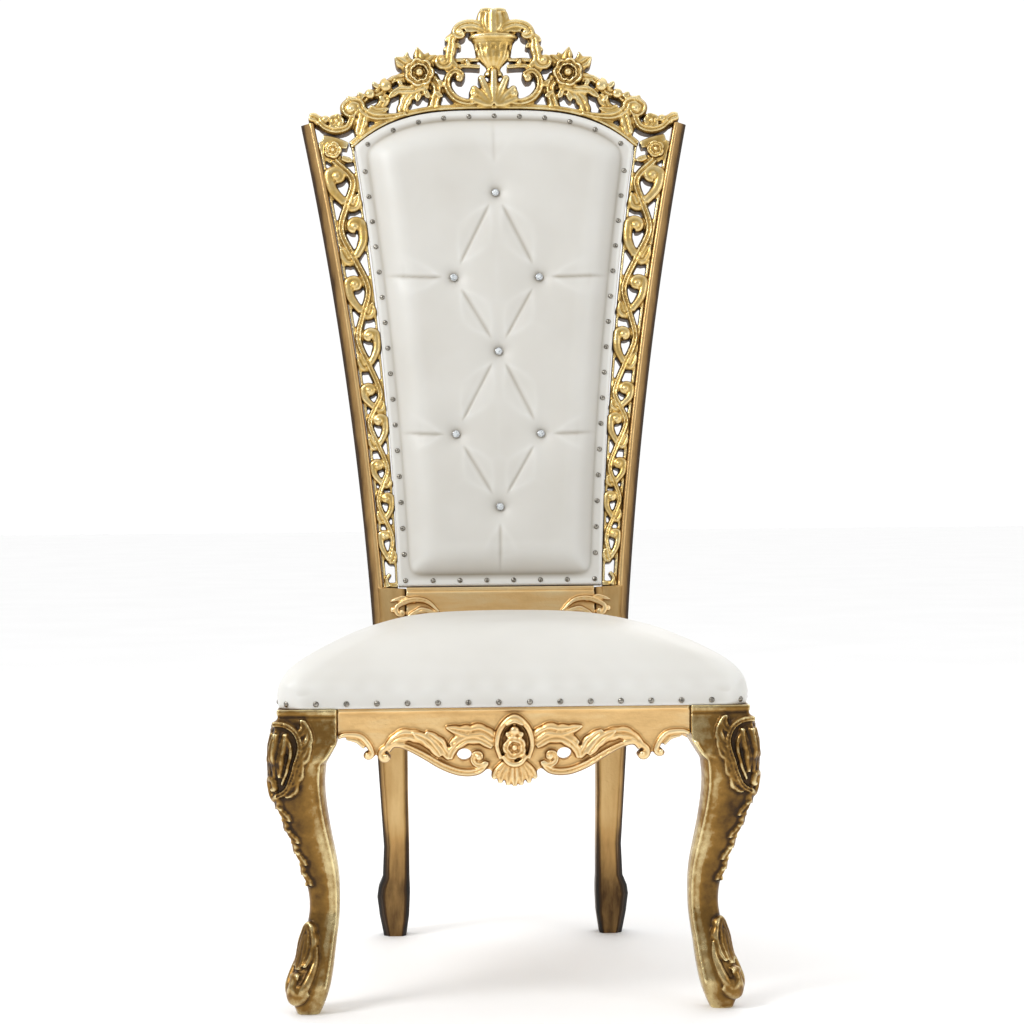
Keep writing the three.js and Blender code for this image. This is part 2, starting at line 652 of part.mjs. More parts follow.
// The pierced vine panel between the right post and the buttoned panel.
function fretwork() {
  const low = PANEL_LOW + 0.3;
  const high = 776;
  const inner = (v) => panelHalf(v) + GAP;
  const outer = (v) => postOut(v) - POST_FACE - GAP;
  // A place in the strip: height, and share across from the middle to an edge
  const at = (v, share) => {
    const middle = (inner(v) + outer(v)) / 2;
    const half = (outer(v) - inner(v)) / 2;
    return [middle + half * share, v];
  };
  // Straight-sided band between two edges
  const band = (left, right, top) => {
    const rings = [];
    const steps = 8;
    for (let i = 0; i <= steps; i++) {
      const v = low + ((high - low) * i) / steps;
      rings.push([
        [left(v), v, BOARD_BACK],
        [right(v), v, BOARD_BACK],
        [right(v), v, top],
        [left(v), v, top],
      ]);
    }
    return skin(rings);
  };
  const parts = [band((v) => outer(v) - 5, outer, -2), band(inner, (v) => inner(v) + 4, -4)];
  // The winding stem, with a scroll and a leaf in every bend
  const bends = [710];
  for (const length of FRET_HALF_WAVES) {
    bends.push(bends[bends.length - 1] - length);
  }
  const stem = [at(744, 0.3)];
  bends.forEach((v, i) => {
    const side = i % 2 ? 1 : -1;
    const reach = i === bends.length - 1 ? 0.4 : 0.62;
    stem.push(at(v, side * reach));
    if (i + 1 < bends.length) {
      stem.push(at((v + bends[i + 1]) / 2, 0));
    }
  });
  const size = (v) => (outer(v) - inner(v)) / 2;
  for (let i = 0; i + 2 < stem.length; i += 2) {
    const piece = stem.slice(i, i + 3);
    const wide = size(piece[1][1]) * 0.22 + 1.8;
    parts.push(stroke(piece, [wide, wide, wide], { top: 4, steps: 4, slope: 0.5 }));
  }
  const flat = { top: -1, slope: 1 };
  bends.slice(0, -1).forEach((v, i) => {
    const side = i % 2 ? -1 : 1;
    const half = size(v);
    const step = FRET_HALF_WAVES[i];
    const wide = half * 0.26 + 1.4;
    const start = at(v - step * 0.42, side * 0.12);
    const bend = at(v - step * 0.16, side * 0.66);
    const turn = at(v + step * 0.08, side * 0.72);
    const eye = at(v + step * 0.08, side * 0.3);
    parts.push(stroke([start, bend, turn, eye], [wide, wide * 1.2, wide], { ...flat, steps: 5 }));
    parts.push(boss(eye, half * 0.36 + 2, BOARD_BACK, 5, 7));
    const root = at(v - step * 0.36, side * 0.1);
    const body = at(v - step * 0.5, -side * 0.44);
    const tip = at(v - step * 0.28, -side * 0.84);
    parts.push(stroke([root, body, tip], [wide, wide * 1.7, 2], { ...flat, steps: 3 }));
    const spur = at(v - step * 0.02, side * 0.96);
    parts.push(stroke([at(v - step * 0.24, side * 0.5), spur], [wide, wide, 3], { ...flat, steps: 2 }));
  });
  // Closing ring at the foot and the rosette block at the head
  const foot = bends[bends.length - 1];
  parts.push(stroke([at(foot + 14, 0), at(foot + 4, 0.5), at(foot - 7, 0.3)], [3, 3, 6], { top: 3, steps: 4 }));
  parts.push(stroke([at(foot - 4, -1), at(foot - 4, 1)], [4, 4, 4], { top: 0, steps: 2, slope: 0.9 }));
  parts.push(stroke([[281, 781], [262, 776], [238, 768]], [7, 8, 7], { top: 0, steps: 4, slope: 0.9 }));
  parts.push(stroke([at(770, 0.9), at(758, 0.5), at(742, -0.1)], [10, 13, 9], { top: -2, steps: 4, slope: 0.9 }));
  parts.push(flower([264, 760], 15, 6, BOARD_BACK, 9));
  const trim = skin([
    [[0, low - 60, -60], [400, low - 60, -60], [400, low - 60, 60], [0, low - 60, 60]],
    [[0, low, -60], [400, low, -60], [400, low, 60], [0, low, 60]],
  ]);
  const postRings = [];
  const panelRings = [];
  for (const v of [PANEL_LOW - 0.5, ...SLANT_LEVELS, POST_TOP]) {
    postRings.push([[outer(v), v, -60], [500, v, -60], [500, v, 60], [outer(v), v, 60]]);
    panelRings.push([[-10, v, -60], [inner(v), v, -60], [inner(v), v, 60], [-10, v, 60]]);
  }
  const cut = thinned(joined(parts))
    .subtract(trim)
    .subtract(skin(postRings))
    .subtract(skin(panelRings))
    .subtract(archBand(GAP + FACET_TOLERANCE));
  return mainBody(cut);
}

// Outline of the buttoned panel, inset evenly from its edge.
function panelOutline(inset) {
  const right = [];
  for (const v of [PANEL_LOW + GAP + inset, ...SLANT_LEVELS.slice(0, -1), 756 - inset]) {
    right.push([panelHalf(v) - GAP - inset, v]);
  }
  const arch = [];
  for (const share of [0.95, 0.8, 0.62, 0.42, 0.2]) {
    const x = (ARCH_HALF - inset) * share;
    arch.push([x, archUnder(x) - GAP - inset]);
  }
  const half = [...right, ...arch];
  const whole = [...half, [0, ARCH_TOP - GAP - inset]];
  for (const [x, v] of [...half].reverse()) {
    whole.push([-x, v]);
  }
  return whole;
}

// The buttoned panel: a board with a flat nailed border and a raised pad, dimpled at each button.
function backCushion() {
  const level = (inset, w) => panelOutline(inset).map(([x, v]) => [x, v, w]);
  const rings = [
    level(0, PANEL_BACK),
    level(0, PANEL_BORDER),
    level(BORDER_WIDE, PANEL_BORDER + 1),
    level(BORDER_WIDE + 5, PANEL_FACE * 0.6),
    level(BORDER_WIDE + 22, PANEL_FACE * 0.92),
    level(BORDER_WIDE + 50, PANEL_FACE),
  ];
  let made = skin(rings);
  for (const [x, v] of BUTTONS) {
    const floor = PANEL_FACE - DIMPLE_DEPTH;
    const ring = (r, w) =>
      Array.from({ length: 8 }, (_, i) => {
        const a = (Math.PI * i) / 4 + Math.PI / 8;
        return [x + r * Math.cos(a), v + r * Math.sin(a), w];
      });
    made = made.subtract(
      skin([ring(BUTTON_RADIUS + 3, floor), ring(DIMPLE_RADIUS * 0.55, PANEL_FACE - 4), ring(DIMPLE_RADIUS, PANEL_FACE + 0.5)]),
    );
  }
  return made;
}

// A cut glass button with a narrower face.
function crystalButton([x, v]) {
  const seat = PANEL_FACE - DIMPLE_DEPTH + GAP;
  return boss([x, v], BUTTON_RADIUS, seat, seat + BUTTON_THICK, 8);
}

// Rail under the buttoned panel, with a curl and a leaf at each end.
function lowerBackRail() {
  const end = POST_IN - GAP;
  const body = skin([
    [[-end, RAIL_LOW_V, -38], [end, RAIL_LOW_V, -38], [end, RAIL_LOW_V, 1], [-end, RAIL_LOW_V, 1]],
    [[-end, RAIL_HIGH_V, -38], [end, RAIL_HIGH_V, -38], [end, RAIL_HIGH_V, 1], [-end, RAIL_HIGH_V, 1]],
  ]);
  const raised = { base: GAP, top: 7 };
  const half = joined([
    scroll([[100, 4], [118, 20], [142, 22], [162, 12]], [158, 2], -0.6, [2, 5, 3], { ...raised, steps: 9, knob: 4 }),
    stroke([[140, 18], [156, 24], [175, 20]], [3, 4, 1], { ...raised, steps: 4 }),
    stroke([[104, 2], [126, 4], [146, -4]], [2, 5, 2], { ...raised, steps: 4 }),
  ]);
  return thinned(joined([body, half, mirrored(half)]));
}

// Outline of the seat, inset evenly from its edge.
function seatOutline(inset) {
  const front = SEAT_FRONT + inset;
  const back = SEAT_BACK - inset * 0.55;
  const slope = (SEAT_FRONT_HALF - SEAT_BACK_HALF) / (SEAT_BACK - SEAT_FRONT);
  const half = (y) => SEAT_FRONT_HALF - inset - slope * Math.max(0, y - 30);
  const corner = SEAT_CORNER + inset * 0.5;
  const right = [];
  for (const share of [0.3, 0.62, 0.85]) {
    right.push([half(front) * share - corner * 0.1, front]);
  }
  for (const a of [0.08, 0.3, 0.55, 0.8, 1]) {
    const turn = (Math.PI / 2) * a;
    right.push([half(front) - corner * (1 - Math.sin(turn)), front + corner * (1 - Math.cos(turn))]);
  }
  for (const share of [0.3, 0.5, 0.7, 0.86]) {
    const y = front + corner + (back - front - corner) * share;
    right.push([half(y), y]);
  }
  right.push([half(back) - 4, back - 4]);
  right.push([half(back) * 0.5, back]);
  const whole = [[0, front], ...right, [0, back]];
  for (const [x, y] of [...right].reverse()) {
    whole.push([-x, y]);
  }
  return whole;
}

// The crowned seat, its cover brought down over the seat frame.
function seatCushion() {
  const rings = SEAT_PROFILE.map(([inset, z]) => seatOutline(inset).map(([x, y]) => [x, y, z]));
  rings.push(seatOutline(185).map(([x, y]) => [x, y, SEAT_CROWN]));
  return skin(rings);
}

// Side seat rail on the right, from the front leg's block to the back post.
function sideRail() {
  const start = LEG_BLOCK_BACK + GAP;
  const steps = 6;
  const rings = [];
  for (let i = 0; i <= steps; i++) {
    const t = i / steps;
    const outer = LEG_OUT_TOP - 2 - (LEG_OUT_TOP - 205) * t;
    const low = SIDE_RAIL_LOW + SIDE_RAIL_ARCH * Math.sin(Math.PI * t);
    const y = start + (514 - GAP - start) * t;
    const inner = outer - RAIL_THICK;
    rings.push([
      [inner, y, low],
      [outer, y, low],
      [outer, y, low + 8],
      [outer - 2, y, low + 11],
      [outer - 2, y, RAIL_TOP],
      [inner, y, RAIL_TOP],
    ]);
  }
  return skin(rings);
}

// Rear seat rail between the back posts.
function rearSeatRail() {
  const end = POST_IN - GAP;
  const back = REAR_RAIL_FRONT + RAIL_THICK;
  return skin([
    [[-end, REAR_RAIL_FRONT, REAR_RAIL_LOW], [end, REAR_RAIL_FRONT, REAR_RAIL_LOW], [end, back, REAR_RAIL_LOW],
      [-end, back, REAR_RAIL_LOW]],
    [[-end, REAR_RAIL_FRONT, RAIL_TOP], [end, REAR_RAIL_FRONT, RAIL_TOP], [end, back, RAIL_TOP],
      [-end, back, RAIL_TOP]],
  ]);
}

const throne = new THREE.Group();
throne.name = "throne_chair";
const level = new THREE.Group();
const back = new THREE.Group();
back.rotation.x = Math.PI / 2 - RAKE;
back.position.set(0, BACK_BASE_Y, BACK_BASE_Z);
const face = new THREE.Group();
face.rotation.x = Math.PI / 2;
face.position.set(0, APRON_FRONT, APRON_LIFT);
throne.add(level, back, face);

// Adds a solid on the right and its mirror image on the left.
function addPair(group, solid, name, material) {
  group.add(meshOf(solid, name + "_right", material));
  group.add(meshOf(mirrored(solid), name + "_left", material));
}

addPair(level, frontLeg(), "front_leg", goldDark);
addPair(level, rearPost(), "rear_post", goldTan);
addPair(level, sideRail(), "side_rail", goldCopper);
level.add(meshOf(rearSeatRail(), "rear_seat_rail", goldCopper));
level.add(meshOf(seatCushion(), "seat_cushion", whiteHide));
face.add(meshOf(apron(), "front_apron", goldCopper));
addPair(back, fretwork(), "fretwork", goldLight);
back.add(meshOf(crest(), "crest", goldLight));
back.add(meshOf(lowerBackRail(), "lower_back_rail", goldCopper));
back.add(meshOf(backCushion(), "back_cushion", whiteHide));
BUTTONS.forEach((place, i) => {
  back.add(meshOf(crystalButton(place), "crystal_button_" + (i + 1), crystal));
});

// The floor centre of the whole chair is the origin.
const middle = new THREE.Box3().setFromObject(throne).getCenter(new THREE.Vector3());
for (const group of [level, back, face]) {
  group.position.y -= middle.y;
}

export default throne;
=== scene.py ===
"""Dresses the high-backed throne chair: carved gilt frame, buttoned back, crowned seat, nails and glass buttons.

Sizes inside the classes are millimetres. Carved pieces are drawn on a flat plane (x across, v up, w towards the
front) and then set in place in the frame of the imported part, which is in metres.
"""

from __future__ import annotations

import json
import logging
import math
from collections.abc import Callable, Sequence
from dataclasses import dataclass, field
from enum import Enum

import bpy
import numpy as np
from mathutils import Matrix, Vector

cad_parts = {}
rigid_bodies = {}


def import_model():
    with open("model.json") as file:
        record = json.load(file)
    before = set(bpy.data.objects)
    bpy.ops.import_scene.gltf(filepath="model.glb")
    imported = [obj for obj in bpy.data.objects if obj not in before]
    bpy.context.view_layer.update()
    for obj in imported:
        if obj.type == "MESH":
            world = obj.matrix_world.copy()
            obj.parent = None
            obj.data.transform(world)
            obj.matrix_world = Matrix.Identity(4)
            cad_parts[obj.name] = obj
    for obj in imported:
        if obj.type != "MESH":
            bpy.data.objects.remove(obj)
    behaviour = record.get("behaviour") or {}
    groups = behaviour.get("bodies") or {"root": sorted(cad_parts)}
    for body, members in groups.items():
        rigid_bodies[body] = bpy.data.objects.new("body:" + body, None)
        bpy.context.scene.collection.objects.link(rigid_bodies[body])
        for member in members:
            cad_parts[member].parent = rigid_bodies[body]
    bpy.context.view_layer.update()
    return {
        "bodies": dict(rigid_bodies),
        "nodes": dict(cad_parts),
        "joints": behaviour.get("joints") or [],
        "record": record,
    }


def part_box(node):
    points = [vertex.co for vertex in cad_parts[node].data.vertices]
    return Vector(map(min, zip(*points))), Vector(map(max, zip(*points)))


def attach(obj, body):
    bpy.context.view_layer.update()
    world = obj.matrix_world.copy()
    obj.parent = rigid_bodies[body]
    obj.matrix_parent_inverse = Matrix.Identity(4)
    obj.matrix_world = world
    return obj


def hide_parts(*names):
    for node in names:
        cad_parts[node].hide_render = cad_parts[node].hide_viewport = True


LOG = logging.getLogger("throne")
MM = 0.001
Point = tuple[float, float]
Halves = tuple[float, float, float]
Place = Callable[[np.ndarray], np.ndarray]

# The back leans on a plane that starts here, at this slope
BACK_BASE_Y = 530.0
BACK_BASE_Z = 516.0
RAKE = math.atan(125 / 793)
# Front of the seat and of the apron, and how far above its drawing the apron is set
SEAT_FRONT = -40.0
APRON_FRONT = -34.0
APRON_LIFT = 3.6
# Flat rear of the carved boards, and the top of the seat rails
BOARD_BACK = -24.0
RAIL_TOP = 418.7
# The vertex value that tones the paint with painted shade and painted highlight, and keeps a division from zero
HOLLOW = "hollow"
TINY = 1e-9


class Relief(Enum):
    """How the top of a carved band is shaped across its width."""

    ROLLED = "rolled"
    GROOVED = "grooved"
    LEAF = "leaf"
    FLAT = "flat"


class Slot(Enum):
    """The record's material slots."""

    GOLD_LIGHT = "gold_light"
    GOLD_COPPER = "gold_copper"
    GOLD_DARK = "gold_dark"
    GOLD_TAN = "gold_tan"
    WHITE_HIDE = "white_hide"
    CRYSTAL = "crystal"


def shift_y() -> float:
    """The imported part's own Y for the drawing's zero, in metres."""
    return float(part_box("seat_cushion")[0][1]) - SEAT_FRONT * MM


def on_back(points: np.ndarray) -> np.ndarray:
    """Sets (x, v, w) points in millimetres on the leaning back.

    Args:
        points: rows of x, v and w.

    Returns:
        Rows of X, Y and Z in metres.
    """
    x, v, w = points.T
    y = BACK_BASE_Y + v * math.sin(RAKE) - w * math.cos(RAKE)
    z = BACK_BASE_Z + v * math.cos(RAKE) + w * math.sin(RAKE)
    return np.column_stack([x * MM, y * MM + shift_y(), z * MM])


def on_apron(points: np.ndarray) -> np.ndarray:
    """Sets (x, v, w) points in millimetres on the upright front of the seat frame.

    Args:
        points: rows of x, v and w.

    Returns:
        Rows of X, Y and Z in metres.
    """
    x, v, w = points.T
    return np.column_stack([x * MM, (APRON_FRONT - w) * MM + shift_y(), (v + APRON_LIFT) * MM])


def level(points: np.ndarray) -> np.ndarray:
    """Sets plain X, Y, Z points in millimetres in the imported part's frame.

    Args:
        points: rows of X, Y and Z.

    Returns:
        Rows of X, Y and Z in metres.
    """
    return points * MM + np.array([0.0, shift_y(), 0.0])


def lengths(line: np.ndarray) -> np.ndarray:
    """Distance along a line up to each of its points."""
    return np.concatenate([[0.0], np.cumsum(np.linalg.norm(np.diff(line, axis=0), axis=1))])


def spaced(line: np.ndarray, count: int, closed: bool = False) -> np.ndarray:
    """Points at even steps along a line.

    Args:
        line: rows of two coordinates.
        count: number of points.
        closed: whether the line ends where it starts, so that its end is left off.

    Returns:
        Rows of two coordinates.
    """
    length = lengths(line)
    at = np.linspace(0, length[-1], count, endpoint=not closed)
    return np.column_stack([np.interp(at, length, line[:, k]) for k in (0, 1)])


def tapered(halves: Halves, t: np.ndarray) -> np.ndarray:
    """Half width along a band, swelling from its start to its middle and narrowing to its end.

    Args:
        halves: half width at the start, middle and end.
        t: places along the band, from 0 to 1.

    Returns:
        The half widths.
    """
    start, middle, end = halves
    swell = np.sin(math.pi * t)
    return np.where(t < 0.5, start + (middle - start) * swell, end + (middle - end) * swell)


def unit(rows: np.ndarray) -> np.ndarray:
    """Each row at a length of one."""
    return rows / (np.linalg.norm(rows, axis=1)[:, None] + TINY)


def smooth_path(points: Sequence[Point], step: float) -> np.ndarray:
    """A smooth line through a few points, at even steps.

    Args:
        points: the points that the line passes through.
        step: distance between the samples, in millimetres.

    Returns:
        Rows of x and v.
    """
    p = np.array(points, float)
    if len(p) == 2:
        p = np.vstack([p[0], p.mean(0), p[1]])
    ends = np.vstack([2 * p[0] - p[1], p, 2 * p[-1] - p[-2]])
    t = np.linspace(0, 1, 24, endpoint=False)[:, None]
    runs = [
        0.5 * (2 * b + (c - a) * t + (2 * a - 5 * b + 4 * c - d) * t**2 + (3 * b - a - 3 * c + d) * t**3)
        for a, b, c, d in zip(ends[:-3], ends[1:-2], ends[2:-1], ends[3:])
    ]
    fine = np.vstack([*runs, p[-1:]])
    return spaced(fine, max(4, int(lengths(fine)[-1] / step) + 1))


def spiral(start: Point, eye: Point, turns: float, end_radius: float) -> list[Point]:
    """Points that wind from a start into an eye.

    Args:
        start: the last point before the spiral.
        eye: the centre that it winds round.
        turns: full turns, negative for clockwise.
        end_radius: distance from the eye at the end.

    Returns:
        The points, without the start.
    """
    radius = math.dist(start, eye)
    angle = math.atan2(start[1] - eye[1], start[0] - eye[0])
    steps = max(3, math.ceil(abs(turns) * 10))
    out = []
    for i in range(1, steps + 1):
        t = i / steps
        r = radius * (end_radius / radius) ** t
        a = angle + turns * 2 * math.pi * t
        out.append((eye[0] + r * math.cos(a), eye[1] + r * math.sin(a)))
    return out


def across(relief: Relief, u: np.ndarray) -> np.ndarray:
    """Height of a band's top across its width.

    Args:
        relief: the kind of top.
        u: places across, from -1 to 1.

    Returns:
        Heights from 0 at the band's shoulder to 1 at its highest.
    """
    dome = np.sqrt(np.clip(1 - np.abs(u) ** 2.4, 0, 1))
    if relief is Relief.GROOVED:
        return dome * (0.72 - 0.28 * np.cos(2.2 * math.pi * u))
    if relief is Relief.LEAF:
        return dome * (1 - 0.5 * np.exp(-((u / 0.16) ** 2)))
    if relief is Relief.FLAT:
        return np.clip(1 - np.abs(u) ** 8, 0, 1)
    return dome


@dataclass
class Carving:
    """A growing mesh of closed carved forms, later fused into one skin."""

    verts: list[np.ndarray] = field(default_factory=list)
    faces: list[np.ndarray] = field(default_factory=list)
    count: int = 0
    step: float = 1.6

    def add(self, verts: np.ndarray, faces: np.ndarray) -> None:
        """Adds a closed form.

        Args:
            verts: rows of x, v and w.
            faces: rows of four corner numbers.
        """
        self.verts.append(verts)
        self.faces.append(faces + self.count)
        self.count += len(verts)

    def rings(self, rings: np.ndarray) -> None:
        """Adds a closed skin over equal rings, with a hub at each end.

        Args:
            rings: array of rings by points by three.
        """
        n, m, _ = rings.shape
        grid = np.arange(n * m).reshape(n, m)
        right = np.roll(grid, -1, axis=1)
        quads = np.stack([grid[:-1], right[:-1], right[1:], grid[1:]], axis=-1).reshape(-1, 4)
        hubs = np.array([rings[0].mean(0), rings[-1].mean(0)])
        first = np.column_stack([np.full(m, n * m), right[0], grid[0], grid[0]])
        last = np.column_stack([np.full(m, n * m + 1), grid[-1], right[-1], right[-1]])
        self.add(np.vstack([rings.reshape(-1, 3), hubs]), np.vstack([quads, first, last]))

    def band(
        self,
        path: Sequence[Point],
        halves: Halves,
        top: float = 4.0,
        base: float = BOARD_BACK,
        relief: Relief = Relief.ROLLED,
        depth: float | None = None,
        lobes: float = 0.0,
    ) -> None:
        """Adds a carved band along a smooth line.

        Args:
            path: points that the line passes through.
            halves: half width at the start, middle and end.
            top: height of the band's highest line.
            base: height of its flat underside.
            relief: how its top is shaped across.
            depth: height of the shaped top above its upright sides.
            lobes: number of leaf lobes along its edges.
        """
        line = smooth_path(path, self.step)
        n = len(line)
        t = np.linspace(0, 1, n)
        half = tapered(halves, t)
        if lobes:
            half = half * (0.88 + 0.2 * np.abs(np.sin(math.pi * lobes * t)))
        tangent = unit(np.gradient(line, axis=0))
        normal = np.column_stack([-tangent[:, 1], tangent[:, 0]])
        u = np.linspace(-1, 1, 15)
        rise = depth if depth is not None else min(8.0, 0.9 * halves[1] + 1.5)
        crown = np.broadcast_to(top - rise + rise * across(relief, u), (n, len(u)))
        xs = line[:, None, :] + normal[:, None, :] * (half[:, None] * u[None, :])[..., None]
        upper = np.concatenate([xs, crown[..., None]], axis=2)
        low = np.concatenate([xs[:, ::-2], np.full((n, len(u[::-2]), 1), base)], axis=2)
        self.rings(np.concatenate([upper, low], axis=1))

    def bands(self, *rows: tuple[Sequence[Point], Halves, float, Relief, int], **options: float) -> None:
        """Adds a run of carved bands.

        Args:
            rows: path, half widths, height, kind of top and number of lobes of each.
            options: further settings that they share.
        """
        for path, halves, top, relief, lobes in rows:
            self.band(path, halves, top=top, relief=relief, lobes=lobes, **options)

    def scroll(
        self,
        path: Sequence[Point],
        eye: Point,
        turns: float,
        halves: Halves,
        knob: float = 4.0,
        **options: object,
    ) -> None:
        """Adds a band that winds into an eye with a round knob.

        Args:
            path: points before the spiral.
            eye: the centre that it winds round.
            turns: full turns, negative for clockwise.
            halves: half width at the start, middle and end.
            knob: radius of the eye's knob.
            options: further settings of the band.
        """
        self.band([*path, *spiral(path[-1], eye, turns, knob * 0.7)], halves, **options)
        top = float(options.get("top", 4.0))
        self.knob(eye, knob, top + 2.0, float(options.get("base", BOARD_BACK)))

    def knob(self, eye: Point, radius: float, top: float, base: float = BOARD_BACK) -> None:
        """Adds a round boss with a domed top.

        Args:
            eye: its centre.
            radius: its radius.
            top: height of its crown.
            base: height of its underside.
        """
        self.flower(eye, radius, 0, top, base)

    def flower(
        self,
        centre: Point,
        radius: float,
        petals: int,
        top: float,
        base: float = BOARD_BACK,
        squash: float = 1.0,
    ) -> None:
        """Adds an open flower of two rows of petals round a heart, or a plain dome.

        Args:
            centre: its middle.
            radius: distance to the petal tips.
            petals: number of outer petals, none for a plain dome.
            top: height of its highest point.
            base: height of its underside.
            squash: width as a share of its height.
        """
        turns = max(24, petals * 12, int(radius * 4))
        a = np.linspace(0, 2 * math.pi, turns, endpoint=False)
        r = np.concatenate([[0.04], np.linspace(0.1, 1, max(8, int(radius / 1.3)))])
        if petals:
            # Depth of the notches and radius of the heart, as shares of the whole
            notch, heart = 0.16, 0.34
            edge = 1 + notch * np.abs(np.sin(petals * a / 2)) ** 0.6 - notch
            outer = np.abs(np.sin(petals * a / 2)) ** 0.5
            inner = np.abs(np.cos(petals * a / 2)) ** 0.5
            rr, oo = np.meshgrid(r, outer, indexing="ij")
            _, ii = np.meshgrid(r, inner, indexing="ij")
            tall = min(14.0, radius * 0.55)
            cup = np.exp(-(((rr - 0.86) / 0.17) ** 2)) * (0.42 + 0.38 * oo)
            second = np.exp(-(((rr - 0.56) / 0.13) ** 2)) * (0.5 + 0.34 * ii)
            bud = np.where(rr < heart, np.sqrt(np.clip(1 - (rr / heart) ** 2, 0, 1)), 0)
            height = top - tall + tall * np.maximum(np.maximum(cup, second), bud)
        else:
            edge = np.ones_like(a)
            rr, _ = np.meshgrid(r, a, indexing="ij")
            rise = min(radius * 0.8, top - base)
            height = top - rise + rise * np.sqrt(np.clip(1 - rr**2, 0, 1))
        x = centre[0] + squash * radius * rr * (edge * np.cos(a))[None, :]
        v = centre[1] + radius * rr * (edge * np.sin(a))[None, :]
        rings = np.stack([x, v, height], axis=-1)
        foot = rings[-1].copy()
        foot[:, 2] = base
        hub = rings[0].copy()
        hub[:, 2] = base
        self.rings(np.concatenate([rings, foot[None], hub[None]], axis=0)[::-1])

    def mirrored(self) -> "Carving":
        """The same forms on the other side of the middle.

        Returns:
            The mirrored forms.
        """
        other = Carving(step=self.step)
        for verts, faces in zip(self.verts, self.faces):
            other.verts.append(verts * np.array([-1.0, 1.0, 1.0]))
            other.faces.append(faces[:, ::-1])
        other.count = self.count
        return other

    def join(self, other: "Carving") -> None:
        """Takes in the forms of another carving.

        Args:
            other: the carving whose forms it takes in.
        """
        for verts, faces in zip(other.verts, other.faces):
            self.verts.append(verts)
            self.faces.append(faces + self.count)
        self.count += other.count

    def made(self, name: str, place: Place | None = None) -> bpy.types.Object:
        """The forms as one object.

        Args:
            name: the object's name.
            place: sets the points in the part's frame, if they aren't there yet.

        Returns:
            The object.
        """
        verts = np.vstack(self.verts)
        return new_object(name, place(verts) if place else verts, np.vstack(self.faces))


def new_object(name: str, verts: np.ndarray, faces: Sequence[Sequence[int]]) -> bpy.types.Object:
    """A mesh object with smooth shading.

    Args:
        name: the piece's name.
        verts: rows of X, Y and Z in metres.
        faces: corner numbers of each face.

    Returns:
        The object, linked to the scene.
    """
    mesh = bpy.data.meshes.new(name)
    mesh.from_pydata(verts.tolist(), [], [tuple(dict.fromkeys(map(int, f))) for f in faces])
    mesh.validate()
    mesh.shade_smooth()
    obj = bpy.data.objects.new(name, mesh)
    bpy.context.scene.collection.objects.link(obj)
    return obj


def applied(obj: bpy.types.Object) -> None:
    """Makes an object's modifiers part of its mesh.

    Args:
        obj: the object.
    """
    bpy.context.view_layer.update()
    made = bpy.data.meshes.new_from_object(obj.evaluated_get(bpy.context.evaluated_depsgraph_get()))
    obj.modifiers.clear()
    old = obj.data
    obj.data = made
    made.name = obj.name
    bpy.data.meshes.remove(old)


def values_of(items: bpy.types.bpy_prop_collection, name: str, width: int, kind: type = float) -> np.ndarray:
    """One property of each of a mesh's items.

    Args:
        items: its vertices, edges or attribute values.
        name: the property.
        width: numbers in each.
        kind: the numbers' type.

    Returns:
        A row for each item.
    """
    values = np.empty(len(items) * width, kind)
    items.foreach_get(name, values)
    return values.reshape(-1, width)


def set_tone(mesh: bpy.types.Mesh, values: np.ndarray) -> None:
    """Stores on each vertex the value that tones the paint: painted shade where it is high, with brown wash on the
    gilt, and painted highlight on the gilt's ridges where it is below zero.
    """
    layer = mesh.attributes.get(HOLLOW) or mesh.attributes.new(HOLLOW, "FLOAT", "POINT")
    layer.data.foreach_set("value", values.astype(np.float32))


def relax(points: np.ndarray, edges: np.ndarray, rounds: int, share: float = 0.5) -> np.ndarray:
    """Moves every point some way towards the middle of its neighbours.

    Args:
        points: rows of values, one for each vertex.
        edges: rows of two vertex numbers.
        rounds: how many times.
        share: how far each time.

    Returns:
        The moved points.
    """
    n = len(points)
    degree = np.bincount(edges.ravel(), minlength=n).astype(float)
    degree[degree == 0] = 1
    out = points.copy()
    for _ in range(rounds):
        total = np.empty_like(out)
        for k in range(out.shape[1]):
            first, second = (np.bincount(edges[:, i], out[edges[:, 1 - i], k], n) for i in (0, 1))
            total[:, k] = first + second
        out += share * (total / degree[:, None] - out)
    return out


def subdivided(verts: np.ndarray, quads: np.ndarray) -> tuple[np.ndarray, list[tuple[int, ...]]]:
    """An open sheet after a round of subdivision, with each of its open edges closed by one face.

    Args:
        verts: rows of three coordinates.
        quads: rows of four vertex numbers.

    Returns:
        The new vertices and faces.
    """
    obj = new_object("sheet", verts, quads)
    smooth = obj.modifiers.new("smooth", "SUBSURF")
    smooth.levels = smooth.render_levels = 1
    applied(obj)
    points = values_of(obj.data.vertices, "co", 3)
    faces = [tuple(polygon.vertices) for polygon in obj.data.polygons]
    bpy.data.objects.remove(obj)
    single: set[tuple[int, int]] = set()
    for face in faces:
        for a, b in zip(face, face[1:] + face[:1]):
            if (b, a) in single:
                single.remove((b, a))
            else:
                single.add((a, b))
    following: dict[int, int] = {b: a for a, b in single}
    while following:
        start, at = following.popitem()
        loop = [start]
        while at != start:
            loop.append(at)
            at = following.pop(at)
        faces.append(tuple(loop))
    return points, faces


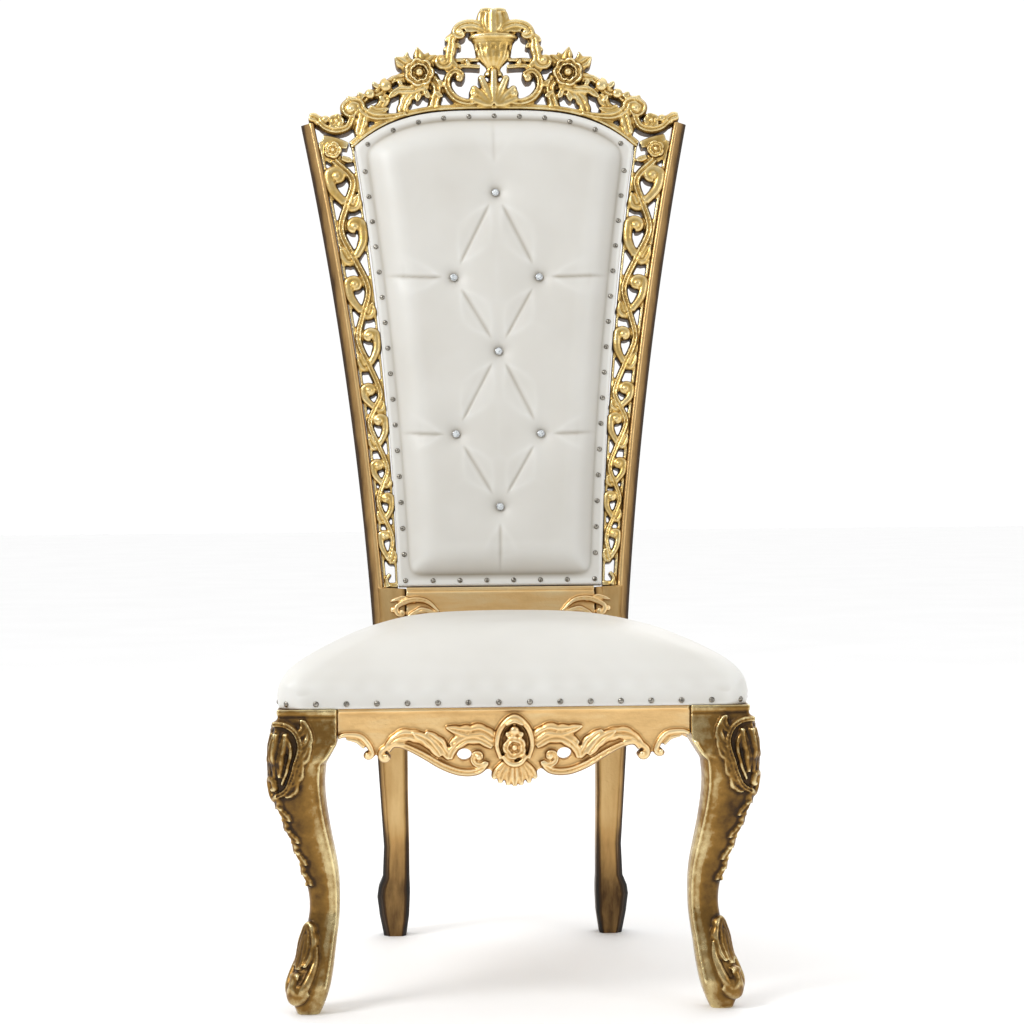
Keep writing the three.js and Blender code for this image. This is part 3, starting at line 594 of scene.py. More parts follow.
def mark_hollows(
    obj: bpy.types.Object, rounds: int = 10, reach: float = 0.0011, front: np.ndarray | None = None
) -> None:
    """Stores on each vertex how far it lies in a hollow, or stands on a ridge below zero, for painted shade in the
    hollows and painted highlight on the ridges.

    Args:
        obj: the piece.
        rounds: how widely the surface is averaged.
        reach: the depth, in metres, that counts as a full hollow.
        front: the way the carving faces, if faces turned away from it take painted shade.
    """
    mesh = obj.data
    points = values_of(mesh.vertices, "co", 3)
    edges = values_of(mesh.edges, "vertices", 2, np.int64)
    normals = values_of(mesh.vertices, "normal", 3)
    wide = relax(points, edges, rounds)
    depth = ((wide - points) * normals).sum(1) / reach
    depth = relax(depth[:, None], edges, 1)[:, 0]
    if front is not None:
        # Painted shade and painted dark reflection on faces that turn away from the front
        depth = depth + 2.5 * np.clip(0.72 - normals @ front, 0, 0.5)
    set_tone(mesh, np.clip(depth, -1, 1.6))


def thinned(obj: bpy.types.Object, triangles: int) -> None:
    """Thins a fine mesh out where it is flattest.

    Args:
        obj: the piece.
        triangles: the most that it keeps.
    """
    count = sum(len(face.vertices) - 2 for face in obj.data.polygons)
    if count > triangles:
        modifier = obj.modifiers.new("thin", "DECIMATE")
        modifier.ratio = triangles / count
        applied(obj)


def fused(
    name: str, carving: Carving, place: Place, voxel: float, triangles: int, faced: bool = True
) -> bpy.types.Object:
    """One carved piece from overlapping forms.

    Args:
        name: the piece's name.
        carving: its forms.
        place: sets drawing points in the part's frame.
        voxel: size of the finest detail kept, in millimetres.
        triangles: the most that the piece keeps.
        faced: whether the carving faces one way, so that faces turned away take painted shade.

    Returns:
        The piece.
    """
    obj = carving.made(name, place)
    remesh = obj.modifiers.new("fuse", "REMESH")
    remesh.mode = "VOXEL"
    remesh.voxel_size = voxel * MM
    remesh.adaptivity = 0
    remesh.use_smooth_shade = True
    applied(obj)
    mesh = obj.data
    edges = values_of(mesh.edges, "vertices", 2, np.int64)
    eased = relax(values_of(mesh.vertices, "co", 3), edges, 1, 0.45)
    mesh.vertices.foreach_set("co", eased.ravel())
    mesh.update()
    origin, tip = place(np.array([[0.0, 0.0, 0.0], [0.0, 0.0, 1000.0]]))
    mark_hollows(obj, front=(tip - origin) if faced else None)
    thinned(obj, triangles)
    return obj


def twin(obj: bpy.types.Object, name: str) -> bpy.types.Object:
    """A mirrored copy of a piece on the other side of the chair.

    Args:
        obj: the piece on one side.
        name: the copy's name.

    Returns:
        The copy.
    """
    mesh = obj.data.copy()
    mesh.name = name
    mesh.transform(Matrix.Scale(-1, 4, (1, 0, 0)))
    mesh.flip_normals()
    other = bpy.data.objects.new(name, mesh)
    bpy.context.scene.collection.objects.link(other)
    return other


def linear(colour: str) -> tuple[float, float, float, float]:
    """An sRGB hex colour as linear values.

    Args:
        colour: such as "#c9a258".

    Returns:
        Red, green, blue and alpha.
    """
    parts = [int(colour[i : i + 2], 16) / 255 for i in (1, 3, 5)]
    values = [c / 12.92 if c <= 0.04045 else ((c + 0.055) / 1.055) ** 2.4 for c in parts]
    return (values[0], values[1], values[2], 1.0)


def node(
    tree: bpy.types.NodeTree, kind: str, links: dict[str | int, object] | None = None, **settings: object
) -> bpy.types.Node:
    """Adds a node with its settings and links.

    Args:
        tree: the material's node tree.
        kind: the node's type.
        links: input name or number to a value or another node's output.
        settings: the node's own properties.

    Returns:
        The node.
    """
    made = tree.nodes.new(kind)
    for name, value in settings.items():
        setattr(made, name, value)
    for name, value in (links or {}).items():
        if isinstance(value, bpy.types.NodeSocket):
            tree.links.new(value, made.inputs[name])
        else:
            made.inputs[name].default_value = value
    return made


def ramp(
    tree: bpy.types.NodeTree, source: bpy.types.NodeSocket, stops: Sequence[tuple[float, str]]
) -> bpy.types.NodeSocket:
    """A colour ramp over a value.

    Args:
        tree: the material's node tree.
        source: the value.
        stops: place and sRGB hex colour of each stop.

    Returns:
        The ramp's colour output.
    """
    made = node(tree, "ShaderNodeValToRGB", {0: source})
    elements = made.color_ramp.elements
    while len(elements) < len(stops):
        elements.new(0.5)
    for element, (place, colour) in zip(elements, stops):
        element.position = place
        element.color = linear(colour)
    return made.outputs[0]


def blank(name: str, **values: object) -> tuple[bpy.types.Material, bpy.types.Node, bpy.types.NodeSocket]:
    """A new material.

    Args:
        name: its name.
        values: constant values of the shader's own sockets, with _ for each space.

    Returns:
        The material, its shader and the piece's own coordinates.
    """
    material = bpy.data.materials.new(name)
    material.use_nodes = True
    shader = material.node_tree.nodes["Principled BSDF"]
    for socket, value in values.items():
        shader.inputs[socket.replace("_", " ")].default_value = value
    return material, shader, node(material.node_tree, "ShaderNodeTexCoord").outputs["Object"]


@dataclass(frozen=True)
class GiltWood:
    """Metallic gold paint brushed over carved wood, toned brown in the hollows by a wash and painted shade, and rubbed
    pale on the ridges with a painted highlight.
    """

    name: str
    # Colours from ridge to deepest hollow: the pale ridge colour is rubbed gilt with painted highlight, the hollow and
    # deep colours brown wash with painted shade
    ridge: str
    body: str
    hollow: str
    deep: str
    metallic: float = 0.9
    roughness: float = 0.34
    # Cloudy tone of hand-brushed paint, some 60 mm across
    cloud_mm: float = 60.0
    cloud_share: float = 0.35
    # Brush grain, about 1.2 mm across
    grain_mm: float = 1.2
    grain_height: float = 0.12
    # Brown wash wiped off by hand: streaks about 12 mm across, drawn out along the boards
    wash_mm: float = 12.0
    wash_share: float = 0.34
    streak: tuple[float, float, float] = (1.0, 1.0, 1.0)
    # Marks left by the gouge, about 5 mm across
    gouge_mm: float = 5.0
    # Tone of a flat place, and how far a full hollow darkens it with brown wash and painted shade
    flat_tone: float = 0.34
    hollow_tone: float = 0.34

    def build(self) -> bpy.types.Material:
        """Builds the material.

        Returns:
            The material.
        """
        material, shader, place = blank(self.name)
        tree = material.node_tree
        cloud = node(
            tree,
            "ShaderNodeTexNoise",
            {"Vector": place, "Scale": 1000 / self.cloud_mm, "Detail": 4.0, "Roughness": 0.55},
        ).outputs["Fac"]
        grain = node(
            tree,
            "ShaderNodeTexNoise",
            {"Vector": place, "Scale": 1000 / self.grain_mm, "Detail": 2.0},
        ).outputs["Fac"]
        hollow = node(tree, "ShaderNodeAttribute", attribute_name=HOLLOW).outputs["Fac"]
        shade = node(
            tree, "ShaderNodeMath", {0: hollow, 1: self.hollow_tone, 2: self.flat_tone}, operation="MULTIPLY_ADD"
        ).outputs[0]
        drift = node(
            tree, "ShaderNodeMath", {0: cloud, 1: self.cloud_share, 2: shade}, operation="MULTIPLY_ADD"
        ).outputs[0]
        drawn = node(tree, "ShaderNodeMapping", {"Vector": place, "Scale": self.streak}).outputs[0]
        wash = node(
            tree, "ShaderNodeTexNoise", {"Vector": drawn, "Scale": 1000 / self.wash_mm, "Detail": 4.0, "Roughness": 0.6}
        ).outputs["Fac"]
        washed = node(
            tree, "ShaderNodeMath", {0: wash, 1: self.wash_share, 2: drift}, operation="MULTIPLY_ADD"
        ).outputs[0]
        tone = node(
            tree,
            "ShaderNodeMath",
            {0: washed, 1: (self.cloud_share + self.wash_share) * 0.5},
            operation="SUBTRACT",
            use_clamp=True,
        ).outputs[0]
        # Ramp from painted highlight on the ridges, through the body colour, to brown wash and painted shade in the
        # hollows
        colour = ramp(tree, tone, [(0.04, self.ridge), (0.36, self.body), (0.66, self.hollow), (0.92, self.deep)])
        tree.links.new(colour, shader.inputs["Base Color"])
        # The ridges are rubbed smooth, and the wash in the hollows is dull and hides the metal
        smooth, dull = self.roughness - 0.06, self.roughness + 0.22
        rough = node(
            tree,
            "ShaderNodeMapRange",
            {"Value": tone, "From Min": 0.1, "From Max": 0.9, "To Min": smooth, "To Max": dull},
        ).outputs[0]
        tree.links.new(rough, shader.inputs["Roughness"])
        bare, covered = self.metallic, self.metallic * 0.45
        metal = node(
            tree,
            "ShaderNodeMapRange",
            {"Value": tone, "From Min": 0.45, "From Max": 0.95, "To Min": bare, "To Max": covered},
        ).outputs[0]
        tree.links.new(metal, shader.inputs["Metallic"])
        marks = node(
            tree, "ShaderNodeTexNoise", {"Vector": place, "Scale": 1000 / self.gouge_mm, "Detail": 3.0}
        ).outputs["Fac"]
        chisel = node(tree, "ShaderNodeBump", {"Height": marks, "Strength": 0.35, "Distance": 0.0012}).outputs[0]
        bump = node(
            tree,
            "ShaderNodeBump",
            {"Height": grain, "Strength": self.grain_height, "Distance": 0.0003, "Normal": chisel},
        ).outputs[0]
        tree.links.new(bump, shader.inputs["Normal"])
        return material


@dataclass(frozen=True)
class Leatherette:
    """Coated imitation leather: satin, with a fine embossed grain, and a faintly warm painted shade in its folds and
    dimples.
    """

    name: str
    light: str
    shade: str
    roughness: float = 0.42
    # The embossed grain is about 0.8 mm; it is drawn at 1.4 mm so that a near view still shows it
    grain_mm: float = 1.4
    grain_height: float = 0.1
    # Faint unevenness of the coating: 9 patches to the metre, about 110 mm each
    patches: float = 9.0

    def build(self) -> bpy.types.Material:
        """Builds the material.

        Returns:
            The material.
        """
        material, shader, place = blank(
            self.name,
            Roughness=self.roughness,
            IOR=1.48,
            Subsurface_Weight=0.06,
            Subsurface_Radius=(0.004, 0.003, 0.002),
        )
        tree = material.node_tree
        hollow = node(tree, "ShaderNodeAttribute", attribute_name=HOLLOW).outputs["Fac"]
        cloud = node(tree, "ShaderNodeTexNoise", {"Vector": place, "Scale": self.patches, "Detail": 3.0}).outputs["Fac"]
        # Painted shade: the marked folds and dimples are toned towards the shade colour
        tone = node(tree, "ShaderNodeMath", {0: hollow, 1: 0.6, 2: 0.25}, operation="MULTIPLY_ADD").outputs[0]
        drift = node(
            tree, "ShaderNodeMath", {0: cloud, 1: 0.2, 2: tone}, operation="MULTIPLY_ADD", use_clamp=True
        ).outputs[0]
        tree.links.new(ramp(tree, drift, [(0.15, self.light), (0.9, self.shade)]), shader.inputs["Base Color"])
        cells = node(
            tree, "ShaderNodeTexVoronoi", {"Vector": place, "Scale": 1000 / self.grain_mm}, feature="SMOOTH_F1"
        ).outputs["Distance"]
        bump = node(
            tree, "ShaderNodeBump", {"Height": cells, "Strength": self.grain_height, "Distance": 0.0003}
        ).outputs[0]
        tree.links.new(bump, shader.inputs["Normal"])
        return material


@dataclass(frozen=True)
class BrightMetal:
    """Plated steel: nail heads with tarnish, or the bright rims of the buttons."""

    name: str
    light: str
    dark: str
    roughness: float = 0.28
    # Tarnish spots, 330 to the metre or about 3 mm each, so that neighbouring heads differ a little
    spots: float = 330.0

    def build(self) -> bpy.types.Material:
        """Builds the material.

        Returns:
            The material.
        """
        material, shader, place = blank(self.name, Metallic=1.0, Roughness=self.roughness)
        tree = material.node_tree
        spots = node(tree, "ShaderNodeTexNoise", {"Vector": place, "Scale": self.spots, "Detail": 2.0}).outputs["Fac"]
        tree.links.new(ramp(tree, spots, [(0.35, self.light), (0.7, self.dark)]), shader.inputs["Base Color"])
        return material


@dataclass(frozen=True)
class CutGlass:
    """Clear pressed glass with a foil behind it, its facets' white and grey flashes painted on as glints."""

    name: str
    tint: str = "#eef3f6"
    foil: str = "#b9c1c6"
    # Bright and dark flecks, 480 to the metre or about 2 mm each, are painted glints standing for the foil seen through
    # the facets
    glint_flecks: float = 480.0

    def build(self) -> bpy.types.Material:
        """Builds the material.

        Returns:
            The material.
        """
        material, shader, place = blank(
            self.name, Roughness=0.04, IOR=1.54, Coat_Weight=1.0, Coat_Roughness=0.02, Transmission_Weight=0.15
        )
        tree = material.node_tree
        glint_flecks = node(tree, "ShaderNodeTexVoronoi", {"Vector": place, "Scale": self.glint_flecks}).outputs["Color"]
        value = node(tree, "ShaderNodeSeparateColor", {0: glint_flecks}).outputs[0]
        tree.links.new(ramp(tree, value, [(0.1, self.foil), (0.6, self.tint)]), shader.inputs["Base Color"])
        return material


# Pale antique gold of the carving
CARVED_GOLD = GiltWood("gilt_carving", "#f9ecbc", "#cfac63", "#5f4117", "#140c04", roughness=0.3)
# Warm copper gold of the plain boards, its wash drawn out across the chair
PLAIN_GOLD = GiltWood(
    "gilt_plain_board", "#fbeec2", "#e8c083", "#95692f", "#241608",
    cloud_share=0.2, wash_share=0.3, streak=(0.14, 1.0, 1.0),
)
# Dark bronze gold of the front legs: its dark body and hollow colours are painted shade and dark reflection on the gold
SHADED_LEG_GOLD = GiltWood("gilt_leg_painted_shade", "#f8e7b0", "#8c6934", "#3d2911", "#120b04", roughness=0.28, cloud_share=0.4)
# Tan gold of the rear posts, near black with painted shade on the flanks, its wash drawn out upright
TAN_GOLD = GiltWood(
    "gilt_tan_post", "#eccf96", "#c49c62", "#4a3318", "#130d07",
    roughness=0.33, cloud_share=0.2, wash_share=0.3, streak=(1.0, 1.0, 0.14),
)
# White cover of the back and the seat
WHITE_HIDE = Leatherette("white_leatherette", "#dcdbd6", "#9a9181")
# Tarnished heads of the cover's nails
PEWTER = BrightMetal("pewter_nail", "#a9a49a", "#4e4a44")
# Bright plating round the glass buttons
CHROME = BrightMetal("chrome_rim", "#f2f3f4", "#b4b6b8", roughness=0.2)
GLASS = CutGlass("cut_glass")


def dress(obj: bpy.types.Object, material: bpy.types.Material, slot: Slot, *replaced: str) -> None:
    """Gives a piece its finish and body, and hides the nodes that it stands for.

    Args:
        obj: the piece.
        material: its finish.
        slot: the record's slot; not used.
        replaced: nodes that it stands for.
    """
    obj.data.materials.clear()
    obj.data.materials.append(material)
    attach(obj, "root")
    if replaced:
        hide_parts(*replaced)
    LOG.info("%s: %d faces, %s", obj.name, len(obj.data.polygons), material.name)


@dataclass
class BackShape:
    """Outlines shared by everything on the leaning back."""

    post_low_out: float = 205.0
    post_flare: float = 60.0
    post_curve: float = 51.0
    post_rise: float = 803.0
    post_face: float = 22.0
    post_flank: float = 13.0
    post_top: float = 806.0
    post_depth: float = 44.0
    panel_low: float = 42.5
    panel_low_half: float = 162.5
    panel_flare: float = 27.0
    panel_curve: float = 40.0
    panel_side_top: float = 765.0
    arch_top: float = 829.5
    arch_drop: float = 62.0
    arch_half: float = 230.0
    arch_power: float = 3.4

    def post_out(self, v: np.ndarray | float) -> np.ndarray | float:
        """Outer edge of a post at a height."""
        t = v / self.post_rise
        return self.post_low_out + self.post_flare * t + self.post_curve * t * t

    def panel_half(self, v: np.ndarray | float) -> np.ndarray | float:
        """Edge of the buttoned panel at a height."""
        t = (v - self.panel_low) / (self.panel_side_top - self.panel_low)
        return self.panel_low_half + self.panel_flare * t + self.panel_curve * t * t

    def arch(self, x: np.ndarray | float) -> np.ndarray | float:
        """Underside of the arch at a place across."""
        return self.arch_top - self.arch_drop * (np.abs(x) / self.arch_half) ** self.arch_power


@dataclass
class Crest:
    """The pierced top rail with its vase, roses, scrolls and corner flowers."""

    shape: BackShape
    voxel: float = 1.5
    triangles: int = 155_000

    def half(self) -> Carving:
        """The forms right of the middle.

        Returns:
            The forms.
        """
        c = Carving()
        roll, leaf, groove = Relief.ROLLED, Relief.LEAF, Relief.GROOVED
        # Arch over the panel, with a bead along its lower edge
        xs = np.linspace(-3, self.shape.arch_half + 4, 40)
        thick = 8 + 4 * np.clip(xs, 0, None) / self.shape.arch_half
        low = self.shape.arch(xs)
        c.band(list(zip(xs, low + thick / 2)), (4.4, 5.2, 6.4), top=1.0, relief=Relief.FLAT, depth=2.5)
        c.band(list(zip(xs, low + 2.2)), (1.9, 1.9, 1.9), top=3.4, relief=roll)
        # Scroll beside the fan
        c.scroll(
            [(57, 876), (52, 888), (64, 894), (75, 883), (75, 864), (63, 848), (46, 841), (30, 842)],
            (31, 854), -1.0, (5, 8, 4.5), knob=5.5, top=7, relief=groove,
        )
        c.knob((56, 882), 7.5, 8)
        c.bands(
            ([(78, 892), (54, 903), (22, 902)], (6, 4.5, 4), 2, roll, 0),
            ([(82, 908), (56, 914), (26, 914)], (5, 4, 3.4), 0, roll, 0),
        )
        # Leaves over the rim of the vase
        c.scroll(
            [(4, 958), (18, 968), (36, 974), (54, 970), (62, 960)],
            (53, 958), -0.5, (8, 8.5, 5), knob=5, top=9, relief=leaf,
        )
        c.band([(10, 960), (30, 964), (46, 962)], (4, 6, 3), top=7, relief=leaf, lobes=2)
        # Rosebud petals
        c.band([(6, 957), (17, 968), (20, 982), (19, 994)], (6, 8, 5), top=8, base=-20, relief=roll)
        c.band([(3, 957), (10, 972), (10, 992)], (5, 7, 5), top=12, base=-18, relief=roll)
        c.band([(-1, 995), (10, 997), (21, 995)], (3.5, 4, 3.5), top=10, base=-18, relief=roll)
        # Hanging leaf and its scroll
        c.scroll(
            [(54, 960), (67, 950), (69, 934), (72, 918)],
            (84, 912), 0.9, (6, 9.5, 6), knob=6, top=6, relief=leaf, lobes=4,
        )
        c.bands(
            ([(66, 956), (79, 945)], (5, 6, 2), 4, leaf, 0),
            ([(70, 936), (82, 930)], (5, 5, 2), 3, leaf, 0),
            ([(60, 942), (54, 934)], (4, 4, 2), 3, leaf, 0),
        )
        # Rose and its pointed leaves
        c.flower((122, 890), 26, 7, 14)
        c.bands(
            ([(120, 898), (122, 916), (125, 936)], (13, 10, 1), 3, leaf, 2),
            ([(132, 898), (148, 908), (162, 918)], (14, 12, 2), 3, leaf, 2),
            ([(134, 886), (150, 883), (163, 881)], (13, 11, 4), 2, leaf, 2),
            ([(112, 900), (104, 912), (93, 921)], (13, 10, 4), 2, leaf, 2),
            ([(134, 906), (142, 918), (141, 928)], (9, 6, 1), 1, leaf, 0),
            ([(112, 902), (112, 918), (106, 927)], (9, 6, 1), 1, leaf, 0),
            # Strut from the rose to the arch
            ([(104, 886), (93, 866), (99, 834)], (14, 10, 11), 4, groove, 0),
            # Leaves below the rose
            ([(108, 872), (132, 863), (156, 861), (172, 849)], (9, 9, 4), 6, leaf, 4),
            ([(128, 862), (144, 846), (152, 822)], (8, 11, 9), 4, leaf, 3),
        )
        for root, tip, wide in (
            ((92, 878), (80, 868), 5.5), ((96, 858), (84, 850), 5), ((112, 862), (106, 848), 6),
            ((120, 856), (126, 842), 6), ((160, 862), (166, 850), 6), ((186, 852), (180, 842), 5),
            ((214, 848), (222, 858), 6), ((232, 842), (240, 852), 5), ((190, 866), (198, 876), 5),
            ((150, 872), (158, 876), 5), ((60, 900), (66, 912), 5), ((40, 905), (44, 914), 4),
        ):
            middle = ((root[0] + tip[0]) / 2 + 1.5, (root[1] + tip[1]) / 2 + 1)
            c.band([root, middle, tip], (wide * 0.6, wide, wide * 0.3), top=5, relief=leaf, lobes=2)
        # Knobbed stem down the shoulder
        c.band(
            [(146, 884), (164, 881), (178, 867), (192, 858), (208, 851), (228, 838)],
            (7, 8.5, 9), top=3, relief=groove,
        )
        c.knob((177, 869), 11, 9)
        c.band([(176, 880), (186, 874)], (5, 5, 2), top=4, relief=leaf)
        c.knob((203, 855), 9, 8)
        # Scroll and leaves on the shoulder
        c.scroll(
            [(144, 822), (170, 817), (196, 817), (214, 827), (220, 840), (232, 843), (243, 836)],
            (233, 829), -0.9, (4, 9.5, 5), knob=6.5, top=7, relief=groove,
        )
        c.bands(
            ([(212, 828), (217, 806), (222, 786)], (11, 11, 8), 5, leaf, 3),
            ([(174, 854), (184, 838), (197, 820)], (8, 10, 10), 3, leaf, 2),
            ([(204, 832), (190, 826), (172, 830)], (7, 7, 2), 6, leaf, 3),
            # Cradle at the corner, with its small flower and buds
            ([(287, 809), (276, 799), (258, 794), (240, 800), (231, 818)], (6, 7, 7), 6, groove, 0),
        )
        c.flower((258, 809), 13, 5, 8)
        c.knob((276, 813), 7, 5)
        c.band([(283, 806), (292, 815), (303, 818)], (8, 9, 7), top=4, relief=leaf, lobes=2)
        return c

    def vase(self) -> Carving:
        """The vase: round, flattened in depth, fluted below and with a row of windows under its rim.

        Returns:
            Its one form.
        """
        c = Carving()
        profile = np.array(
            [(0.5, 884), (15, 885.5), (16.5, 889), (15, 893), (11.5, 897), (12.5, 901), (18, 907), (26, 917), (30, 928),
             (33, 939), (33.5, 943), (36, 945), (36, 947.5), (40, 949), (42, 951), (42, 954), (39, 956), (0.5, 957)]
        )
        r, v = spaced(profile, 130).T
        a = np.linspace(0, 2 * math.pi, 120, endpoint=False)
        flute = np.exp(-(((v - 915) / 11) ** 2))[:, None] * np.abs(np.sin(9 * a))[None, :]
        window = np.exp(-(((v - 934) / 5) ** 4))[:, None] * (np.cos(12 * a)[None, :] > 0.1)
        radius = r[:, None] * (1 + 0.11 * flute) - 3.0 * window * (r > 20)[:, None]
        x = radius * np.cos(a)
        w = radius * np.sin(a) * 0.5 - 6
        c.rings(np.stack([x, np.repeat(v[:, None], len(a), 1), w], axis=-1)[::-1])
        return c

    def build(self, gold: bpy.types.Material) -> None:
        """Builds and dresses the crest.

        Args:
            gold: its finish.
        """
        whole = self.half()
        whole.join(whole.mirrored())
        whole.join(self.vase())
        whole.band([(0, 830), (0, 860), (0, 900)], (9, 10, 5), top=4, relief=Relief.ROLLED)
        # Scalloped shell under the vase, its middle lobes the longest
        for degrees in (-70, -47, -23, 0, 23, 47, 70):
            a = math.radians(degrees)
            reach = 68 - 0.36 * abs(degrees)
            lobe = [(share * reach * math.sin(a), 833 + share * reach * math.cos(a)) for share in (0.06, 0.5, 0.86)]
            whole.band(lobe, (2.6, 7.6, 6.2), top=9.5 - 0.03 * abs(degrees), relief=Relief.ROLLED, depth=8)
            whole.knob(lobe[-1], 6.2, 9 - 0.03 * abs(degrees))
        whole.band([(0, 954), (0, 974), (0, 997)], (8, 9, 7), top=14, base=-20, relief=Relief.ROLLED)
        dress(fused("crest_carving", whole, on_back, self.voxel, self.triangles), gold, Slot.GOLD_LIGHT, "crest")


@dataclass
class Fretwork:
    """The pierced vine between a post and the buttoned panel."""

    shape: BackShape
    low: float = 42.8
    high: float = 776.0
    half_waves: tuple[float, ...] = (85, 96, 85, 87, 51, 72, 54, 61, 69)
    first: float = 710.0
    voxel: float = 1.25
    triangles: int = 92_000

    def at(self, v: float, share: float) -> Point:
        """A place in the strip: height, and share across from the middle to an edge."""
        inner, outer = self.edges(v)
        return ((inner + outer) / 2 + share * (outer - inner) / 2, v)

    def edges(self, v: float) -> tuple[float, float]:
        """Inner and outer edge of the strip at a height."""
        return self.shape.panel_half(v) + 0.4, self.shape.post_out(v) - self.shape.post_face - 0.4

    def carve(self) -> Carving:
        """The forms of the right panel: two edge strips, a waving stem, and a scroll and two leaves in each bend.

        Returns:
            The forms.
        """
        c = Carving(step=1.4)
        vs = np.linspace(self.low, self.high, 60)
        c.band([(self.edges(v)[1] - 2.6, v) for v in vs], (2.6, 2.6, 2.6), top=-1, relief=Relief.ROLLED, depth=2.5)
        c.band([(self.edges(v)[0] + 2.0, v) for v in vs], (2, 2, 2), top=-2, relief=Relief.ROLLED, depth=2)
        bends = [self.first]
        for length in self.half_waves:
            bends.append(bends[-1] - length)
        stem = [self.at(744, 0.3)]
        for i, v in enumerate(bends):
            side = 1 if i % 2 else -1
            stem.append(self.at(v, side * (0.4 if i == len(bends) - 1 else 0.62)))
            if i + 1 < len(bends):
                stem.append(self.at((v + bends[i + 1]) / 2, 0.0))
        for i in range(0, len(stem) - 2, 2):
            inner, outer = self.edges(stem[i + 1][1])
            wide = (outer - inner) * 0.11 + 1.8
            before = stem[max(0, i - 1)]
            piece = stem[i : i + 3]
            lead = [tuple(np.array(piece[0]) + 0.12 * (np.array(before) - np.array(piece[0])))] if i else []
            c.band([*lead, *piece], (wide, wide, wide), top=4, relief=Relief.GROOVED)
        for i, v in enumerate(bends[:-1]):
            side = -1 if i % 2 else 1
            inner, outer = self.edges(v)
            half = (outer - inner) / 2
            step = self.half_waves[i]
            wide = half * 0.24 + 1.3
            # Places by share of the half wave up, and share across towards the scroll's side
            curl, leaf, tip = (
                [self.at(v + step * up, side * over) for up, over in places]
                for places in (
                    ((-0.44, 0.1), (-0.18, 0.7), (0.1, 0.78)),
                    ((-0.36, 0.1), (-0.5, -0.44), (-0.26, -0.86)),
                    ((-0.26, 0.45), (-0.02, 0.96)),
                )
            )
            eye = self.at(v + step * 0.08, side * 0.3)
            c.scroll(curl, eye, side * 0.75, (wide, wide * 1.2, wide * 0.9), knob=half * 0.26 + 1.4, top=4)
            c.band(leaf, (wide, wide * 1.6, 1.6), top=2, relief=Relief.LEAF, lobes=2)
            c.band(tip, (wide, wide, 2.4), top=1, relief=Relief.LEAF, lobes=1)
        foot = bends[-1]
        c.band([self.at(foot + 14, 0), self.at(foot + 4, 0.5), self.at(foot - 7, 0.3)], (3, 3, 5), top=3)
        c.band([self.at(foot - 4, -1), self.at(foot - 4, 1)], (4, 4, 4), top=0, relief=Relief.FLAT, depth=2)
        # Block at the head, with its rosette
        c.band([(281, 781), (262, 776), (240, 769)], (7, 8, 6), top=0, relief=Relief.FLAT, depth=2.5)
        gusset = [self.at(772, 0.8), self.at(758, 0.5), self.at(740, 0.0)]
        c.band(gusset, (9, 13, 8), top=-1, relief=Relief.FLAT, depth=2.5)
        c.flower((264, 760), 15, 5, 10)
        c.band([self.at(748, -0.2), self.at(742, -0.8)], (5, 6, 2), top=3, relief=Relief.LEAF)
        return c

    def build(self, gold: bpy.types.Material) -> None:
        """Builds and dresses both panels.

        Args:
            gold: their finish.
        """
        right = fused("vine_panel_right", self.carve(), on_back, self.voxel, self.triangles)
        left = twin(right, "vine_panel_left")
        dress(right, gold, Slot.GOLD_LIGHT, "fretwork_right")
        dress(left, gold, Slot.GOLD_LIGHT, "fretwork_left")


